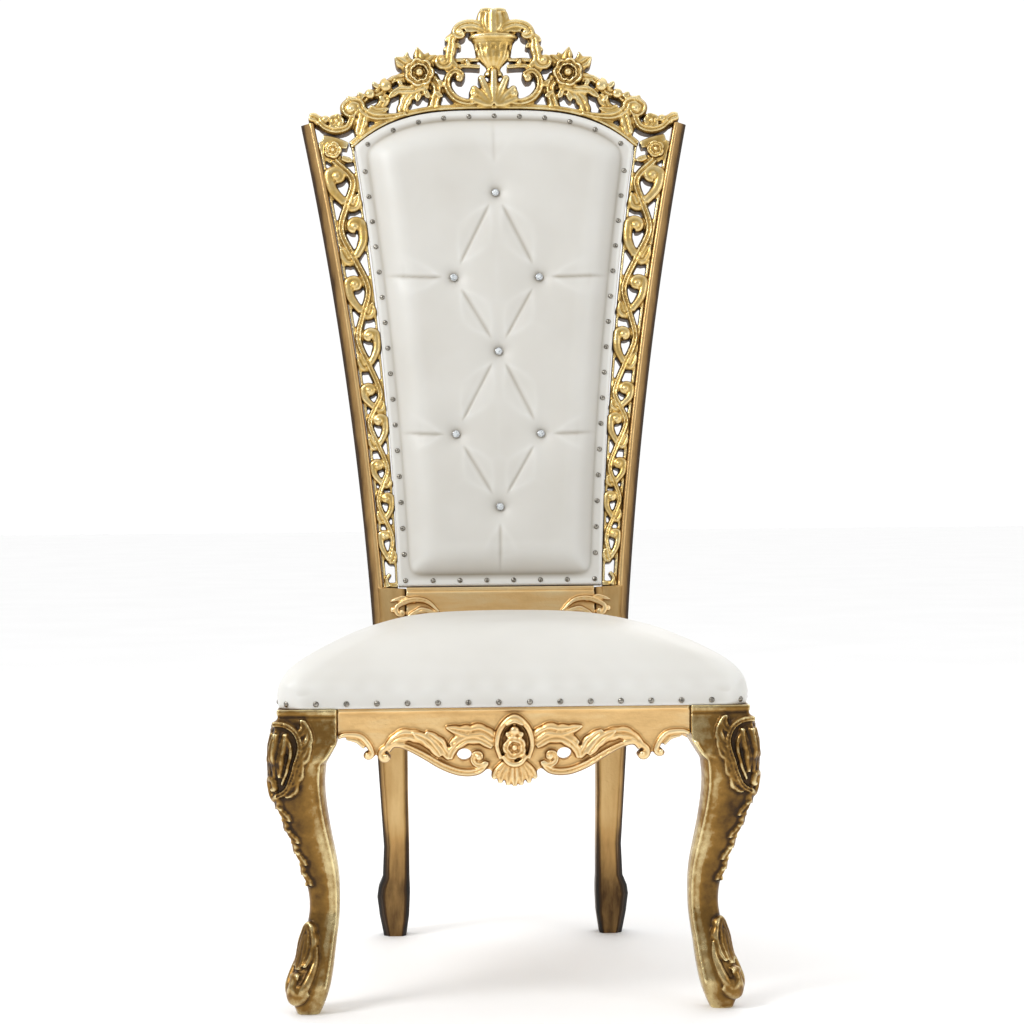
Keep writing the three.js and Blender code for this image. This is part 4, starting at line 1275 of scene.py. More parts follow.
@dataclass
class RearPost:
    """Back leg and back post in one length, with a gilt bead in front and a slanted flank darkened with painted shade.
    """

    shape: BackShape
    # Height, outer edge, inner edge, front and depth below the lean
    levels: tuple[tuple[float, float, float, float, float], ...] = (
        (0, 190.5, 155, 541, 37), (34, 197, 150, 536, 41), (64, 200.5, 148.5, 531, 43), (78, 198.5, 148.5, 529, 43),
        (95, 191.5, 149, 526, 42), (146, 189, 149, 520, 43), (229, 194, 150, 515.5, 44), (310, 199, 150, 514, 44),
        (400, 202, 150, 515, 44), (450, 203.5, 150, 519.6, 44),
    )
    inner: float = 150.0
    chamfer: float = 8.0
    bead: float = 2.6
    low_bead: float = 0.4

    def section(self, outer: float, inner: float, flank: float, ease: float, depth: float, bead: float) -> np.ndarray:
        """Points of a cut: across, depth towards the front, and how much painted shade each takes.

        Args:
            outer: outer edge.
            inner: inner edge.
            flank: width of the slanted outer flank.
            ease: width of the slanted inner edge.
            depth: from front to back.
            bead: height of the round bead on the front face.

        Returns:
            Rows of x, w and painted shade.
        """
        face = np.linspace(inner + ease, outer - flank, 9)
        u = np.linspace(-1, 1, 9)
        # Painted highlight on the bead's face, painted shade on its edges, the slanted flank, the sides and the rear
        rows = [(x, bead * math.sqrt(max(0.0, 1 - k * k)), -0.25 if abs(k) < 0.9 else 0.5) for x, k in zip(face, u)]
        slanted = [
            (outer - flank + 0.6, -1.0, 0.2),
            (outer - flank * 0.5, -flank * 0.5, 0.6),
            (outer - 0.8, -flank + 0.8, 1.4),
        ]
        outside = [(outer, -flank - 1.5, 1.2), (outer, -depth * 0.6, 0.9), (outer, -depth + 2, 0.9)]
        rear = [(outer - 2, -depth, 0.6), (inner + 2, -depth, 0.2), (inner, -depth + 2, 0.3)]
        inside = [(inner, -depth * 0.5, 0.3), (inner, -ease - 1, 0.4), (inner + ease * 0.5, -ease * 0.5, 0.9)]
        return np.array(rows + slanted + outside + rear + inside)

    def build(self, gold: bpy.types.Material) -> None:
        """Builds and dresses both posts.

        Args:
            gold: their finish.
        """
        rings, dark = [], []
        table = np.array(self.levels)
        for z in np.unique(np.concatenate([np.linspace(0, 450, 60), table[:, 0]])):
            outer, inner, front, depth = (float(np.interp(z, table[:, 0], table[:, k])) for k in (1, 2, 3, 4))
            cut = self.section(outer, inner, self.chamfer, self.chamfer * 0.6, depth, self.low_bead)
            rings.append(level(np.column_stack([cut[:, 0], front - cut[:, 1], np.full(len(cut), z)])))
            # Darker towards the foot, and a little painted shade under the seat
            foot, under = float(np.clip((195 - z) / 120, 0, 1)), 0.2 * float(np.clip((z - 320) / 90, 0, 1))
            dark.append(cut[:, 2] + foot + under)
        s = self.shape
        cuts = []
        for v in [-20, 0, 20, s.panel_low - 2.5]:
            flank = s.post_flank if v >= 0 else self.chamfer + 2
            cuts.append((v, self.section(float(s.post_out(v)), self.inner, flank, 3, s.post_depth, self.low_bead)))
        for v in np.linspace(s.panel_low - 0.5, s.post_top, 70):
            outer = float(s.post_out(v))
            cuts.append((v, self.section(outer, outer - s.post_face, s.post_flank, 1, s.post_depth, self.bead)))
        for v, cut in cuts:
            rings.append(on_back(np.column_stack([cut[:, 0], np.full(len(cut), v), cut[:, 1]])))
            dark.append(cut[:, 2])
        c = Carving()
        c.rings(np.array(rings))
        right = c.made("back_post_right")
        set_tone(right.data, np.concatenate([*dark, [0.2, 0.2]]))
        bevel = right.modifiers.new("ease", "BEVEL")
        bevel.width = 0.8 * MM
        bevel.segments = 2
        bevel.limit_method = "ANGLE"
        bevel.angle_limit = math.radians(35)
        applied(right)
        left = twin(right, "back_post_left")
        dress(right, gold, Slot.GOLD_TAN, "rear_post_right")
        dress(left, gold, Slot.GOLD_TAN, "rear_post_left")


@dataclass
class FrontLeg:
    """Cabriole leg with a carved knee, sprigs, an ankle cup and a scroll toe."""

    # Height, and X of the outer and inner faces
    levels: tuple[tuple[float, float, float], ...] = (
        (0, 299, 268), (26, 309, 256), (50, 311, 251), (64, 297, 249), (92, 293, 246), (122, 284, 241.5),
        (150, 281, 240), (186, 288, 240.5), (212, 296, 244), (238, 305, 249), (262, 315, 253), (292, 325, 257),
        (318, 330, 258.5), (344, 331, 256), (372, 329, 240.5), (404, 323, 240.5), (409, 320, 240.5),
        (412, 322, 240.5), (418.7, 322, 240.5),
    )
    block_in: float = 240.5
    block_front: float = -38.0
    block_back: float = 39.0
    top_out: float = 319.0
    voxel: float = 1.5
    triangles: int = 64_000

    def faces(self, z: np.ndarray) -> tuple[np.ndarray, ...]:
        """Outer, inner, front and back faces at heights, eased between the levels below the block.

        Args:
            z: heights.

        Returns:
            X of the outer and inner faces, and Y of the front and back ones.
        """
        table = np.array(self.levels)
        soft = np.clip((340 - z) / 30, 0, 1) * np.clip(z / 12, 0, 1)
        outer, inner = (
            sum(np.interp(z + soft * d, table[:, 0], table[:, k]) for d in (-14, -7, 0, 7, 14)) / 5 for k in (1, 2)
        )
        return outer, inner, self.block_front - (outer - self.top_out), self.block_back - (inner - self.block_in)

    def skin(self, angle: np.ndarray, z: np.ndarray, lift: np.ndarray | float = 0.0) -> np.ndarray:
        """Points on the leg's skin.

        Args:
            angle: radians round the leg, from straight out to the side towards the front.
            z: heights.
            lift: distance off the skin.

        Returns:
            Rows of X, Y and Z in millimetres.
        """
        outer, inner, front, back = self.faces(z)
        block = np.clip((z - 344) / 30, 0, 1)
        power = 3.2 + 30 * block * block * (3 - 2 * block)
        c, s = np.cos(angle), np.sin(angle)
        reach = 1 / (np.abs(c) ** power + np.abs(s) ** power) ** (1 / power)
        x = (outer + inner) / 2 + c * ((outer - inner) / 2 * reach + lift)
        y = (front + back) / 2 - s * ((back - front) / 2 * reach + lift)
        return np.column_stack([x, y, z])

    def band(
        self,
        c: Carving,
        path: Sequence[Point],
        halves: Halves,
        height: float = 4.0,
        relief: Relief = Relief.ROLLED,
        lobes: float = 0.0,
    ) -> None:
        """Adds a carved band that follows the leg's skin.

        Args:
            c: the carving that takes it in.
            path: points of angle (sixtieths of a radian) and height.
            halves: half width at the start, middle and end.
            height: how far it stands off the skin.
            relief: how its top is shaped across.
            lobes: number of leaf lobes along its edges.
        """
        line = smooth_path(path, 1.5)
        a, z = line[:, 0] / 60, line[:, 1]
        centre = self.skin(a, z)
        outward = self.skin(a, z, 10.0) - centre
        outward /= np.linalg.norm(outward, axis=1)[:, None]
        side = unit(np.cross(unit(np.gradient(centre, axis=0)), outward))
        t = np.linspace(0, 1, len(line))
        half = tapered(halves, t)
        if lobes:
            half = half * (0.86 + 0.22 * np.abs(np.sin(math.pi * lobes * t)))
        u = np.linspace(-1, 1, 13)
        up = -1.0 + (height + 1.0) * across(relief, u)
        top = centre[:, None] + side[:, None] * (half[:, None] * u)[..., None] + outward[:, None] * up[None, :, None]
        low = centre[:, None] + side[:, None] * (half[:, None] * u[::-2])[..., None] - outward[:, None] * 5
        c.rings(np.concatenate([top, low], axis=1))

    def carve(self) -> Carving:
        """The forms of the right leg: its shaft, and the carving on its outer front corner.

        Returns:
            The forms.
        """
        c = Carving()
        zs = np.linspace(0, RAIL_TOP, 210)
        a = np.linspace(0, 2 * math.pi, 72, endpoint=False)
        c.rings(np.array([self.skin(a, np.full_like(a, z)) for z in zs]))
        roll, leaf = Relief.ROLLED, Relief.LEAF
        # Frame round the knee, with ribs in it, a scroll below and leaves on its inner side
        knee = [(50, 302), (72, 312), (87, 336), (90, 362), (80, 386), (58, 399), (34, 397), (12, 380)]
        self.band(c, knee, (5, 5.2, 4), 7, Relief.GROOVED)
        self.band(c, [(62, 318), (74, 340), (74, 364), (62, 386)], (2, 3, 2), 4.5, roll)
        for low, tip in ((18, 24), (30, 37), (42, 50), (53, 62)):
            self.band(c, [(low + 6, 328), (tip - 2, 352), (tip, 388)], (3, 6, 4), 6, leaf, 2)
        curl = [(50, 302), (36, 298), (24, 308), (28, 324), (44, 325), (47, 313), (38, 311)]
        self.band(c, curl, (5.5, 5.6, 3.6), 8, roll)
        self.band(c, [(4, 388), (0, 360), (8, 328), (24, 306)], (3, 5, 4), 6, roll)
        for root, middle, tip in (
            ((66, 302), (86, 312), (97, 330)), ((78, 316), (98, 330), (103, 352)), ((87, 338), (104, 354), (104, 378)),
            ((89, 362), (102, 378), (98, 398)), ((84, 384), (92, 396), (84, 406)),
        ):
            self.band(c, [root, middle, tip], (4, 7.5, 1.5), 6, leaf, 3)
        # Sprigs of leaves and berries down the corner
        for i, z in enumerate((292, 276, 260, 244, 228, 212, 197, 183)):
            lean = 12 if i % 2 else -12
            size = 7.0 - 0.3 * i
            sprig = [(47 - lean * 0.3, z + 10), (47 + lean * 0.4, z), (47 + lean * 1.3, z - 9)]
            self.band(c, sprig, (2.5, size, 1.2), 6.5, leaf, 2)
            self.band(c, [(47 + lean * 0.3, z - 4), (47 - lean * 0.4, z - 9)], (2.6, 3.6, 2.6), 7, roll)
        for path, halves, height, relief, lobes in (
            ([(52, 300), (47, 260), (48, 220), (50, 172)], (3, 2.4, 1.2), 3, roll, 0),
            # Leaf cup at the ankle
            ([(62, 66), (70, 92), (58, 114), (44, 124)], (6, 9, 3), 7, leaf, 3),
            ([(30, 66), (22, 92), (32, 112), (44, 124)], (6, 9, 3), 7, leaf, 3),
            ([(46, 62), (46, 88), (46, 108)], (6, 8, 3), 5.5, leaf, 2),
            # Scroll toe
            ([(4, 36), (47, 28), (90, 36)], (9, 15, 9), 5.5, roll, 0),
            ([(88, 92), (92, 66), (84, 42), (66, 30), (48, 38), (50, 52), (62, 52)], (3, 7, 5), 6.5, roll, 0),
            ([(6, 92), (2, 66), (10, 42), (28, 30), (46, 38), (44, 52), (32, 52)], (3, 7, 5), 6.5, roll, 0),
            # Thin bead down the inner front edge
            ([(138, z) for z in (370, 330, 280, 230, 180, 130, 90, 60, 36)], (1.8, 1.8, 1.6), 2.4, roll, 0),
        ):
            self.band(c, path, halves, height, relief, lobes)
        return c

    def paint_side_shade_and_light(self, leg: bpy.types.Object) -> None:
        """Paints shade on the outer side, and lightens the inner strip low down with painted light.

        Args:
            leg: the right leg, with its hollows marked.
        """
        mesh = leg.data
        x, _, z = values_of(mesh.vertices, "co", 3).T / MM
        outer, inner, _, _ = self.faces(z)
        side = np.clip((x - inner) / (outer - inner), 0, 1)
        shade = 0.75 * np.clip((side - 0.25) / 0.4, 0, 1) - 0.3 * np.clip((300 - z) / 120, 0, 1) * (side < 0.35)
        values = values_of(mesh.attributes[HOLLOW].data, "value", 1, np.float32)[:, 0]
        # The painted shade is less at the toe, and hardly on the ridges
        set_tone(mesh, values + shade * np.clip((z - 40) / 80, 0.4, 1) * np.clip(0.85 + values, 0, 1))

    def build(self, gold: bpy.types.Material) -> None:
        """Builds and dresses both legs.

        Args:
            gold: their finish.
        """
        right = fused("cabriole_leg_right", self.carve(), level, self.voxel, self.triangles, faced=False)
        self.paint_side_shade_and_light(right)
        left = twin(right, "cabriole_leg_left")
        dress(right, gold, Slot.GOLD_DARK, "front_leg_right")
        dress(left, gold, Slot.GOLD_DARK, "front_leg_left")


@dataclass
class Apron:
    """Front seat rail with scrolls, leaves and a rose boss along its lower edge."""

    thick: float = 24.0
    end: float = 240.1
    voxel: float = 1.3
    triangles: int = 90_000
    # Underside of the raised forms, sunk in the board
    sunk: float = -6.0
    edge: tuple[Point, ...] = (
        (240.1, 377), (231, 380), (208, 377), (197, 365), (191, 352), (183, 352), (174, 360), (160, 366), (146, 363),
        (122, 351), (98, 337), (73, 329), (51, 330), (34, 331), (24, 322), (12, 318), (0, 318),
    )

    def board(self) -> Carving:
        """The plain board behind the carving, as upright slices.

        Returns:
            Its one form.
        """
        c = Carving()
        pts = np.array(self.edge)[::-1]
        xs = np.linspace(-self.end, self.end, 240)
        low = np.interp(np.abs(xs), pts[:, 0], pts[:, 1])
        top = RAIL_TOP - APRON_LIFT
        rear = -self.thick
        rings = [[(x, z, 0), (x, top - 1, 0), (x, top, -1), (x, top, rear), (x, z, rear)] for x, z in zip(xs, low)]
        c.rings(np.array(rings))
        return c

    def half(self) -> Carving:
        """The carving right of the middle.

        Returns:
            The forms.
        """
        c = Carving()
        base = -self.thick
        leaf, roll, groove = Relief.LEAF, Relief.ROLLED, Relief.GROOVED
        for path, eye, turns, halves, knob, top, relief in (
            ([(239, 377), (229, 380), (210, 378), (199, 368), (193, 356)], (200, 353), 0.55, (3, 4.6, 3), 3.2, 5, roll),
            ([(228, 374), (214, 371), (204, 362)], None, 0, (1, 2.4, 2), 0, 3, roll),
            (
                [(172, 358), (163, 366), (146, 363), (122, 351), (98, 337), (73, 328), (50, 329), (38, 340)],
                (49, 348), 1.2, (4, 6, 3.4), 4, 7, groove,
            ),
            ([(150, 366), (164, 367), (177, 360)], (174, 350), -0.7, (4, 5, 3.4), 4, 6, roll),
        ):
            if eye:
                c.scroll(path, eye, turns, halves, knob=knob, top=top, base=base, relief=relief)
            else:
                c.band(path, halves, top=top, base=base, relief=relief)
        # Leaves on the board
        c.bands(
            ([(174, 364), (156, 377), (134, 377), (110, 362)], (4, 10, 4), 7, leaf, 4),
            ([(138, 382), (118, 371), (100, 350)], (3, 9, 5), 9, leaf, 3),
            ([(120, 383), (102, 368), (88, 346)], (3, 9, 5), 8, leaf, 3),
            ([(26, 372), (44, 383), (66, 382), (93, 389)], (8, 11, 2), 9, leaf, 4),
            ([(60, 384), (72, 374), (88, 366)], (5, 8, 3), 8, leaf, 2),
            ([(30, 362), (48, 372), (68, 371), (84, 358), (88, 346)], (5, 8, 5), 9, leaf, 4),
            base=self.sunk,
        )
        # Ruffled skirt under the boss
        for x, z, w in ((29, 318, 6), (20, 312, 6.5), (9, 309, 6.5)):
            c.band([(x * 0.45, 340), (x * 0.85, 326), (x, z)], (5, w, 3), top=7, base=base, relief=leaf, lobes=1)
        return c

    def boss(self) -> Carving:
        """The rose boss with its hood.

        Returns:
            The forms.
        """
        c = Carving()
        leaf, roll = Relief.LEAF, Relief.ROLLED
        sunk = self.sunk
        c.flower((0, 366), 27, 0, 9, sunk, squash=0.82)
        c.flower((0, 361), 17, 5, 17, -4)
        c.knob((0, 384), 7, 15, -4)
        c.knob((-9, 379), 4, 13, -4)
        c.knob((9, 379), 4, 13, -4)
        hood = [(-19, 346), (-24, 366), (-18, 388), (0, 402), (18, 388), (24, 366), (19, 346)]
        c.bands(
            (hood, (3, 4.6, 3), 13, roll, 0),
            ([(-16, 350), (-9, 341), (0, 338), (9, 341), (16, 350)], (3, 4, 3), 14, roll, 0),
            ([(-12, 392), (0, 397), (12, 392)], (2, 3, 2), 16, leaf, 0),
            base=sunk,
        )
        c.band([(0, 338), (0, 322), (0, 308)], (6, 7, 3), top=9, base=-self.thick, relief=leaf, lobes=1)
        return c

    def build(self, gold: bpy.types.Material) -> None:
        """Builds and dresses the apron.

        Args:
            gold: its finish.
        """
        whole = self.board()
        half = self.half()
        whole.join(half)
        whole.join(half.mirrored())
        whole.join(self.boss())
        # Bead under the seat's edge
        whole.band([(-238, 411.5), (0, 411.5), (238, 411.5)], (2, 2, 2), top=1.4, base=self.sunk, depth=2)
        piece = fused("apron_carving", whole, on_apron, self.voxel, self.triangles)
        hole = self.cutter()
        cut = piece.modifiers.new("opening", "BOOLEAN")
        cut.operation, cut.solver, cut.object = "DIFFERENCE", "EXACT", hole
        applied(piece)
        bpy.data.objects.remove(hole)
        dress(piece, gold, Slot.GOLD_COPPER, "front_apron")

    def cutter(self) -> bpy.types.Object:
        """The two oval openings beside the scroll eyes, as a cutting form.

        Returns:
            The form, to be deleted after the cut.
        """
        c = Carving()
        for side in (-1, 1):
            a = np.linspace(0, 2 * math.pi, 40, endpoint=False)
            ring = np.column_stack([side * 68 + 10 * np.cos(a), 351 + 8.5 * np.sin(a)])
            c.rings(np.array([np.column_stack([ring, np.full(len(a), w)]) for w in (-40.0, 30.0)]))
        return c.made("opening_cutter", on_apron)


@dataclass
class LowerRail:
    """Rail under the buttoned panel, with a curl and a leaf at each end."""

    end: float = 149.7
    low: float = -14.0
    high: float = 42.0
    rear: float = -38.0
    voxel: float = 1.3
    triangles: int = 30_000

    def build(self, gold: bpy.types.Material) -> None:
        """Builds and dresses the rail.

        Args:
            gold: its finish.
        """
        c = Carving()
        low, high, rear = self.low, self.high, self.rear
        # A plain board with a groove under its upper front edge
        cut = [(low, 1), (high - 9, 1), (high - 7, -0.5), (high - 5, 1), (high - 1, 1), (high, 0)]
        cut += [(high, rear), (low, rear)]
        c.rings(np.array([[(x, v, w) for v, w in cut] for x in np.linspace(-self.end, self.end, 40)]))
        half = Carving()
        curl = [(98, 2), (118, 19), (142, 21), (163, 12)]
        half.scroll(curl, (157, 2), -0.7, (2, 5, 3), knob=4, top=8, base=0.4, relief=Relief.LEAF)
        half.band([(136, 18), (156, 24), (176, 19)], (3, 5, 1), top=6, base=0.4, relief=Relief.LEAF, lobes=3)
        half.band([(102, 0), (126, 5), (148, -6)], (2, 5.5, 3), top=6, base=0.4, relief=Relief.LEAF, lobes=3)
        half.knob((171, 6), 5, 6, 0.4)
        c.join(half)
        c.join(half.mirrored())
        piece = fused("lower_back_rail_carving", c, on_back, self.voxel, self.triangles)
        dress(piece, gold, Slot.GOLD_COPPER, "lower_back_rail")


@dataclass
class BackPanel:
    """The buttoned panel: a flat nailed border round a deep pad, pulled in at seven buttons."""

    shape: BackShape
    buttons: tuple[Point, ...] = ((0, 684), (-69, 543), (69, 543), (2, 421), (-68, 286), (68, 286), (1, 168))
    border: float = 20.0
    border_face: float = 2.0
    pad: float = 25.0
    back: float = -24.0
    nail_inset: float = 12.0
    columns: int = 111
    rows: int = 171

    def outline_gap(self, x: np.ndarray, v: np.ndarray) -> np.ndarray:
        """Distance of points from the panel's edge, rounded off in its corners.

        Args:
            x: places across.
            v: heights.

        Returns:
            The distances.
        """
        s = self.shape
        side = (s.panel_half(v) - np.abs(x)) * 0.99
        low = v - s.panel_low
        slope = s.arch_power * s.arch_drop / s.arch_half * (np.abs(x) / s.arch_half) ** (s.arch_power - 1)
        high = (s.arch(x) - v) / np.sqrt(1 + slope**2)
        return -np.log(np.exp(-side / 7) + np.exp(-low / 7) + np.exp(-high / 7)) * 7

    def folds(self) -> list[tuple[Point, Point, float]]:
        """Fold lines between the buttons and to the edges.

        Returns:
            Two ends and a depth of each.
        """
        b = self.buttons
        half = self.shape.panel_half
        diamonds = [(0, 1), (0, 2), (1, 3), (2, 3), (3, 4), (3, 5), (4, 6), (5, 6)]
        lines = [(b[i], b[j], 1.0) for i, j in diamonds]
        for i in (1, 2, 4, 5):
            x, v = b[i]
            side = 1 if x > 0 else -1
            lines.append(((x, v), (side * (float(half(v)) - self.border), v + 4), 1.15))
        lines.append((b[6], (b[6][0] - 1, self.shape.panel_low + self.border), 0.9))
        lines.append((b[0], (b[0][0] - 3, self.shape.arch_top - self.border), 0.35))
        return lines

    def height(self, x: np.ndarray, v: np.ndarray) -> np.ndarray:
        """Height of the face over the panel's plane: border, pad, button dimples and folds.

        Args:
            x: places across.
            v: heights.

        Returns:
            The heights.
        """
        gap = self.outline_gap(x, v)
        q = np.clip((gap - self.border + 1) / 50, 0, 1)
        w = self.border_face + self.pad * (1 - (1 - q) ** 2.4)
        pull = np.zeros_like(x)
        for bx, bv in self.buttons:
            r = np.hypot(x - bx, (v - bv) * 0.92)
            pull = np.maximum(pull, 11.0 * np.exp(-((r / 14) ** 1.3)) + 4.5 * np.exp(-((r / 42) ** 2)))
        crease = np.zeros_like(x)
        for (ax, av), (cx, cv), deep in self.folds():
            dx, dv = cx - ax, cv - av
            t = np.clip(((x - ax) * dx + (v - av) * dv) / (dx * dx + dv * dv), 0, 1)
            sag = 2.5 * np.sin(math.pi * t)
            gapline = np.hypot(x - ax - t * dx, v - av - t * dv + sag * (abs(dv) < 20))
            near = 1 - 0.25 * np.sin(math.pi * t)
            cut = 2.6 * np.exp(-((gapline / 2.6) ** 1.4)) + 4.0 * np.exp(-((gapline / 17) ** 2))
            crease = np.maximum(crease, deep * near * cut)
        slack = 0.5 * np.sin(x / 23 + v / 61) * np.sin(v / 37) * q
        return np.maximum(w - np.maximum(pull, crease) * np.clip(q * 1.6, 0, 1) + slack, self.border_face - 0.4)

    def build(self, hide: bpy.types.Material) -> None:
        """Builds and dresses the panel.

        Args:
            hide: its cover.
        """
        cols, rows = self.columns, self.rows
        s = self.shape
        t = np.linspace(0, 1, rows)[:, None]
        even = np.linspace(-1, 1, cols)[None, :]
        side = np.sin(even * math.pi / 2) * 0.35 + even * 0.65
        nominal = s.panel_low + 0.4 + t * (s.arch_top - s.arch_drop - s.panel_low - 0.8)
        x = side * (s.panel_half(nominal) - 0.4)
        v = s.panel_low + 0.4 + t * (s.arch(x) - 0.8 - s.panel_low)
        front = np.stack([x, v, np.full_like(x, self.border_face)], axis=-1).reshape(-1, 3)
        grid = np.arange(rows * cols).reshape(rows, cols)
        quads = np.stack([grid[:-1, :-1], grid[:-1, 1:], grid[1:, 1:], grid[1:, :-1]], axis=-1).reshape(-1, 4)
        loop = np.concatenate([grid[0], grid[1:, -1], grid[-1, -2::-1], grid[-2:0:-1, 0]])
        rim = front[loop].copy()
        rim[:, 2] = self.back
        j = np.arange(len(loop))
        walls = np.column_stack([loop, len(front) + j, len(front) + np.roll(j, -1), np.roll(loop, -1)])
        sheets, parts, last = [front, rim], [quads, walls], len(front) + j
        # Rings over the rear, by share of the outline: a welt, and a slight puff inside it
        welt = ((0.985, -24.8), (0.962, -24.6), (0.955, -23.0), (0.946, -24.8))
        puff = ((0.8, -25.8), (0.4, -26.2), (0.05, -26.4))
        for share, w in welt + puff:
            ring = rim * share + np.array([0.0, 430.0, 0.0]) * (1 - share)
            ring[:, 2] = w
            here = sum(map(len, sheets)) + j
            parts.append(np.column_stack([last, here, np.roll(here, -1), np.roll(last, -1)]))
            sheets.append(ring)
            last = here
        points, faces = subdivided(np.vstack(sheets), np.vstack(parts))
        face = points[:, 2] > self.border_face - 3
        x, v = points[face, 0], points[face, 1]
        points[face, 2] = self.height(x, v) - 1.2 * np.exp(-np.clip(self.outline_gap(x, v), 0, None) / 1.5)
        piece = new_object("buttoned_back", on_back(points), faces)
        # Marks the folds and dimples for the cover's painted shade
        mark_hollows(piece, 24, 0.0022)
        dress(piece, hide, Slot.WHITE_HIDE, "back_cushion")

    def nails(self) -> tuple[np.ndarray, np.ndarray]:
        """Places and outward directions of the border's nails.

        Returns:
            Rows in metres, and rows of length one.
        """
        s = self.shape
        inset = self.nail_inset
        spots: list[Point] = []
        for x in np.linspace(-207, 207, 11):
            spots.append((float(x), float(s.arch(x)) - inset - abs(x) * 0.02))
        for v in np.linspace(s.panel_low + inset - 2, 724, 17):
            for side in (-1, 1):
                spots.append((side * (float(s.panel_half(v)) - inset), float(v)))
        for x in np.linspace(-107, 107, 6):
            spots.append((float(x), s.panel_low + inset - 2.5))
        flat = np.array([(x, v, self.border_face) for x, v in spots])
        out = np.array([0.0, -math.cos(RAKE), math.sin(RAKE)])
        return on_back(flat), np.repeat(out[None], len(flat), 0)


@dataclass
class Seat:
    """The crowned seat, its cover brought down over the frame and nailed along its edge."""

    front: float = SEAT_FRONT
    back: float = 507.0
    front_half: float = 323.0
    back_half: float = 207.0
    corner: float = 34.0
    rear_corner: float = 16.0
    straight_to: float = 30.0
    crown: float = 528.8
    nail_height: float = 426.0
    # Distance in from the edge and height, up the side and over the shoulder
    profile: tuple[Point, ...] = (
        (2.6, 419.2), (1.4, 424), (0.5, 430), (0.0, 437), (0.8, 445), (3.4, 453), (9, 463), (17, 473.5), (27, 483),
        (40, 494), (56, 505), (72, 514), (88, 520), (108, 524.5), (125, 526.6),
    )

    def half(self, y: np.ndarray | float, inset: float = 0.0) -> np.ndarray | float:
        """Half width of the seat at a place back.

        Args:
            y: the place.
            inset: distance in from the edge.

        Returns:
            The half width.
        """
        slope = (self.front_half - self.back_half) / (self.back - self.front)
        return self.front_half - inset - slope * np.maximum(0.0, y - self.straight_to)

    def outline(self, inset: float, count: int) -> np.ndarray:
        """Points round the seat at an even inset.

        Args:
            inset: distance in from the edge.
            count: number of points.

        Returns:
            Rows of X and Y in millimetres.
        """
        front = self.front + inset
        back = self.back - inset * 0.55
        corner = self.corner + inset * 0.5
        half_front, half_back = self.half(front, inset), self.half(back, inset)
        pts = [(0.0, front), (max(0.0, half_front - corner), front)]
        for a in np.linspace(0.08, 1, 12) * math.pi / 2:
            pts.append((half_front - corner * (1 - math.sin(a)), front + corner * (1 - math.cos(a))))
        for share in np.linspace(0.1, 0.9, 12):
            y = front + corner + (back - front - corner) * share
            pts.append((self.half(y, inset), y))
        r = self.rear_corner + inset * 0.3
        for a in np.linspace(0, 1, 6) * math.pi / 2:
            pts.append((half_back - r * (1 - math.cos(a)), back - r * (1 - math.sin(a))))
        pts.append((0.0, back))
        right = np.array(pts)
        whole = np.vstack([right, right[-2:0:-1] * np.array([-1.0, 1.0])])
        return spaced(np.vstack([whole, whole[:1]]), count, closed=True)

    def gap(self, x: np.ndarray, y: np.ndarray) -> np.ndarray:
        """Distance in from the edge, rounded off where two sides meet, and more so further in.

        Args:
            x: places across.
            y: places back.

        Returns:
            The distances.
        """
        gaps = (y - self.front, (self.back - y) / 0.55, self.half(y) - np.abs(x))
        near, far = (-k * np.log(sum(np.exp(-g / k) for g in gaps)) for k in (12, 60))
        share = np.clip(near / 110, 0, 1)
        return near + (far - near) * share * share * (3 - 2 * share)

    def build(self, hide: bpy.types.Material) -> None:
        """Builds and dresses the seat.

        Args:
            hide: its cover.
        """
        count = 360
        table = np.array(self.profile)
        pitch = np.linspace(0, 2 * math.pi, count, endpoint=False)
        centre = np.array([0.0, 230.0])
        edge = self.outline(0.0, count)
        out = edge - centre
        out /= np.linalg.norm(out, axis=1)[:, None]
        rise = smooth_path(self.profile[3:], 1.5)
        rings = [np.column_stack([edge - out * d, np.full(count, z)]) for d, z in table[:4]]
        # Rings over the top, by share of the outline, with faint puckers where the cover is drawn down
        for share in 1 - np.linspace(0, 1, 34)[1:] ** 1.8 * 0.97:
            flat = centre + (edge - centre) * share
            gap = np.clip(self.gap(flat[:, 0], flat[:, 1]), 0.0, None)
            crown = (self.crown - table[-1, 1]) * np.clip((gap - table[-1, 0]) / 100, 0, 1)
            z = np.interp(gap, rise[:, 0], rise[:, 1]) + crown
            pucker = 0.28 * np.exp(-(((z - 446) / 16) ** 2)) * np.cos(56 * pitch)
            rings.append(np.column_stack([flat + out * pucker[:, None], z]))
        rings = np.array(rings)
        grid = np.arange(rings.shape[0] * count).reshape(-1, count)
        right = np.roll(grid, -1, axis=1)
        quads = np.stack([grid[:-1], right[:-1], right[1:], grid[1:]], axis=-1).reshape(-1, 4)
        shell = rings.reshape(-1, 3)
        # Heights eased over the top, but not on the sides or in the innermost rings
        pairs = ((grid, right), (grid[:-1], grid[1:]))
        edges = np.vstack([np.column_stack([a.ravel(), b.ravel()]) for a, b in pairs])
        eased = relax(shell[:, 2:], edges, 24)[:, 0]
        left = len(shell) - np.arange(len(shell))
        inner = np.clip((shell[:, 2] - 455) / 30, 0, 1) * np.clip(left / (4 * count), 0, 1)
        shell[:, 2] += (eased - shell[:, 2]) * inner
        points, faces = subdivided(level(shell), quads)
        piece = new_object("crowned_seat", points, faces)
        # Marks the hollows for the cover's painted shade
        mark_hollows(piece, 12, 0.0015)
        dress(piece, hide, Slot.WHITE_HIDE, "seat_cushion")

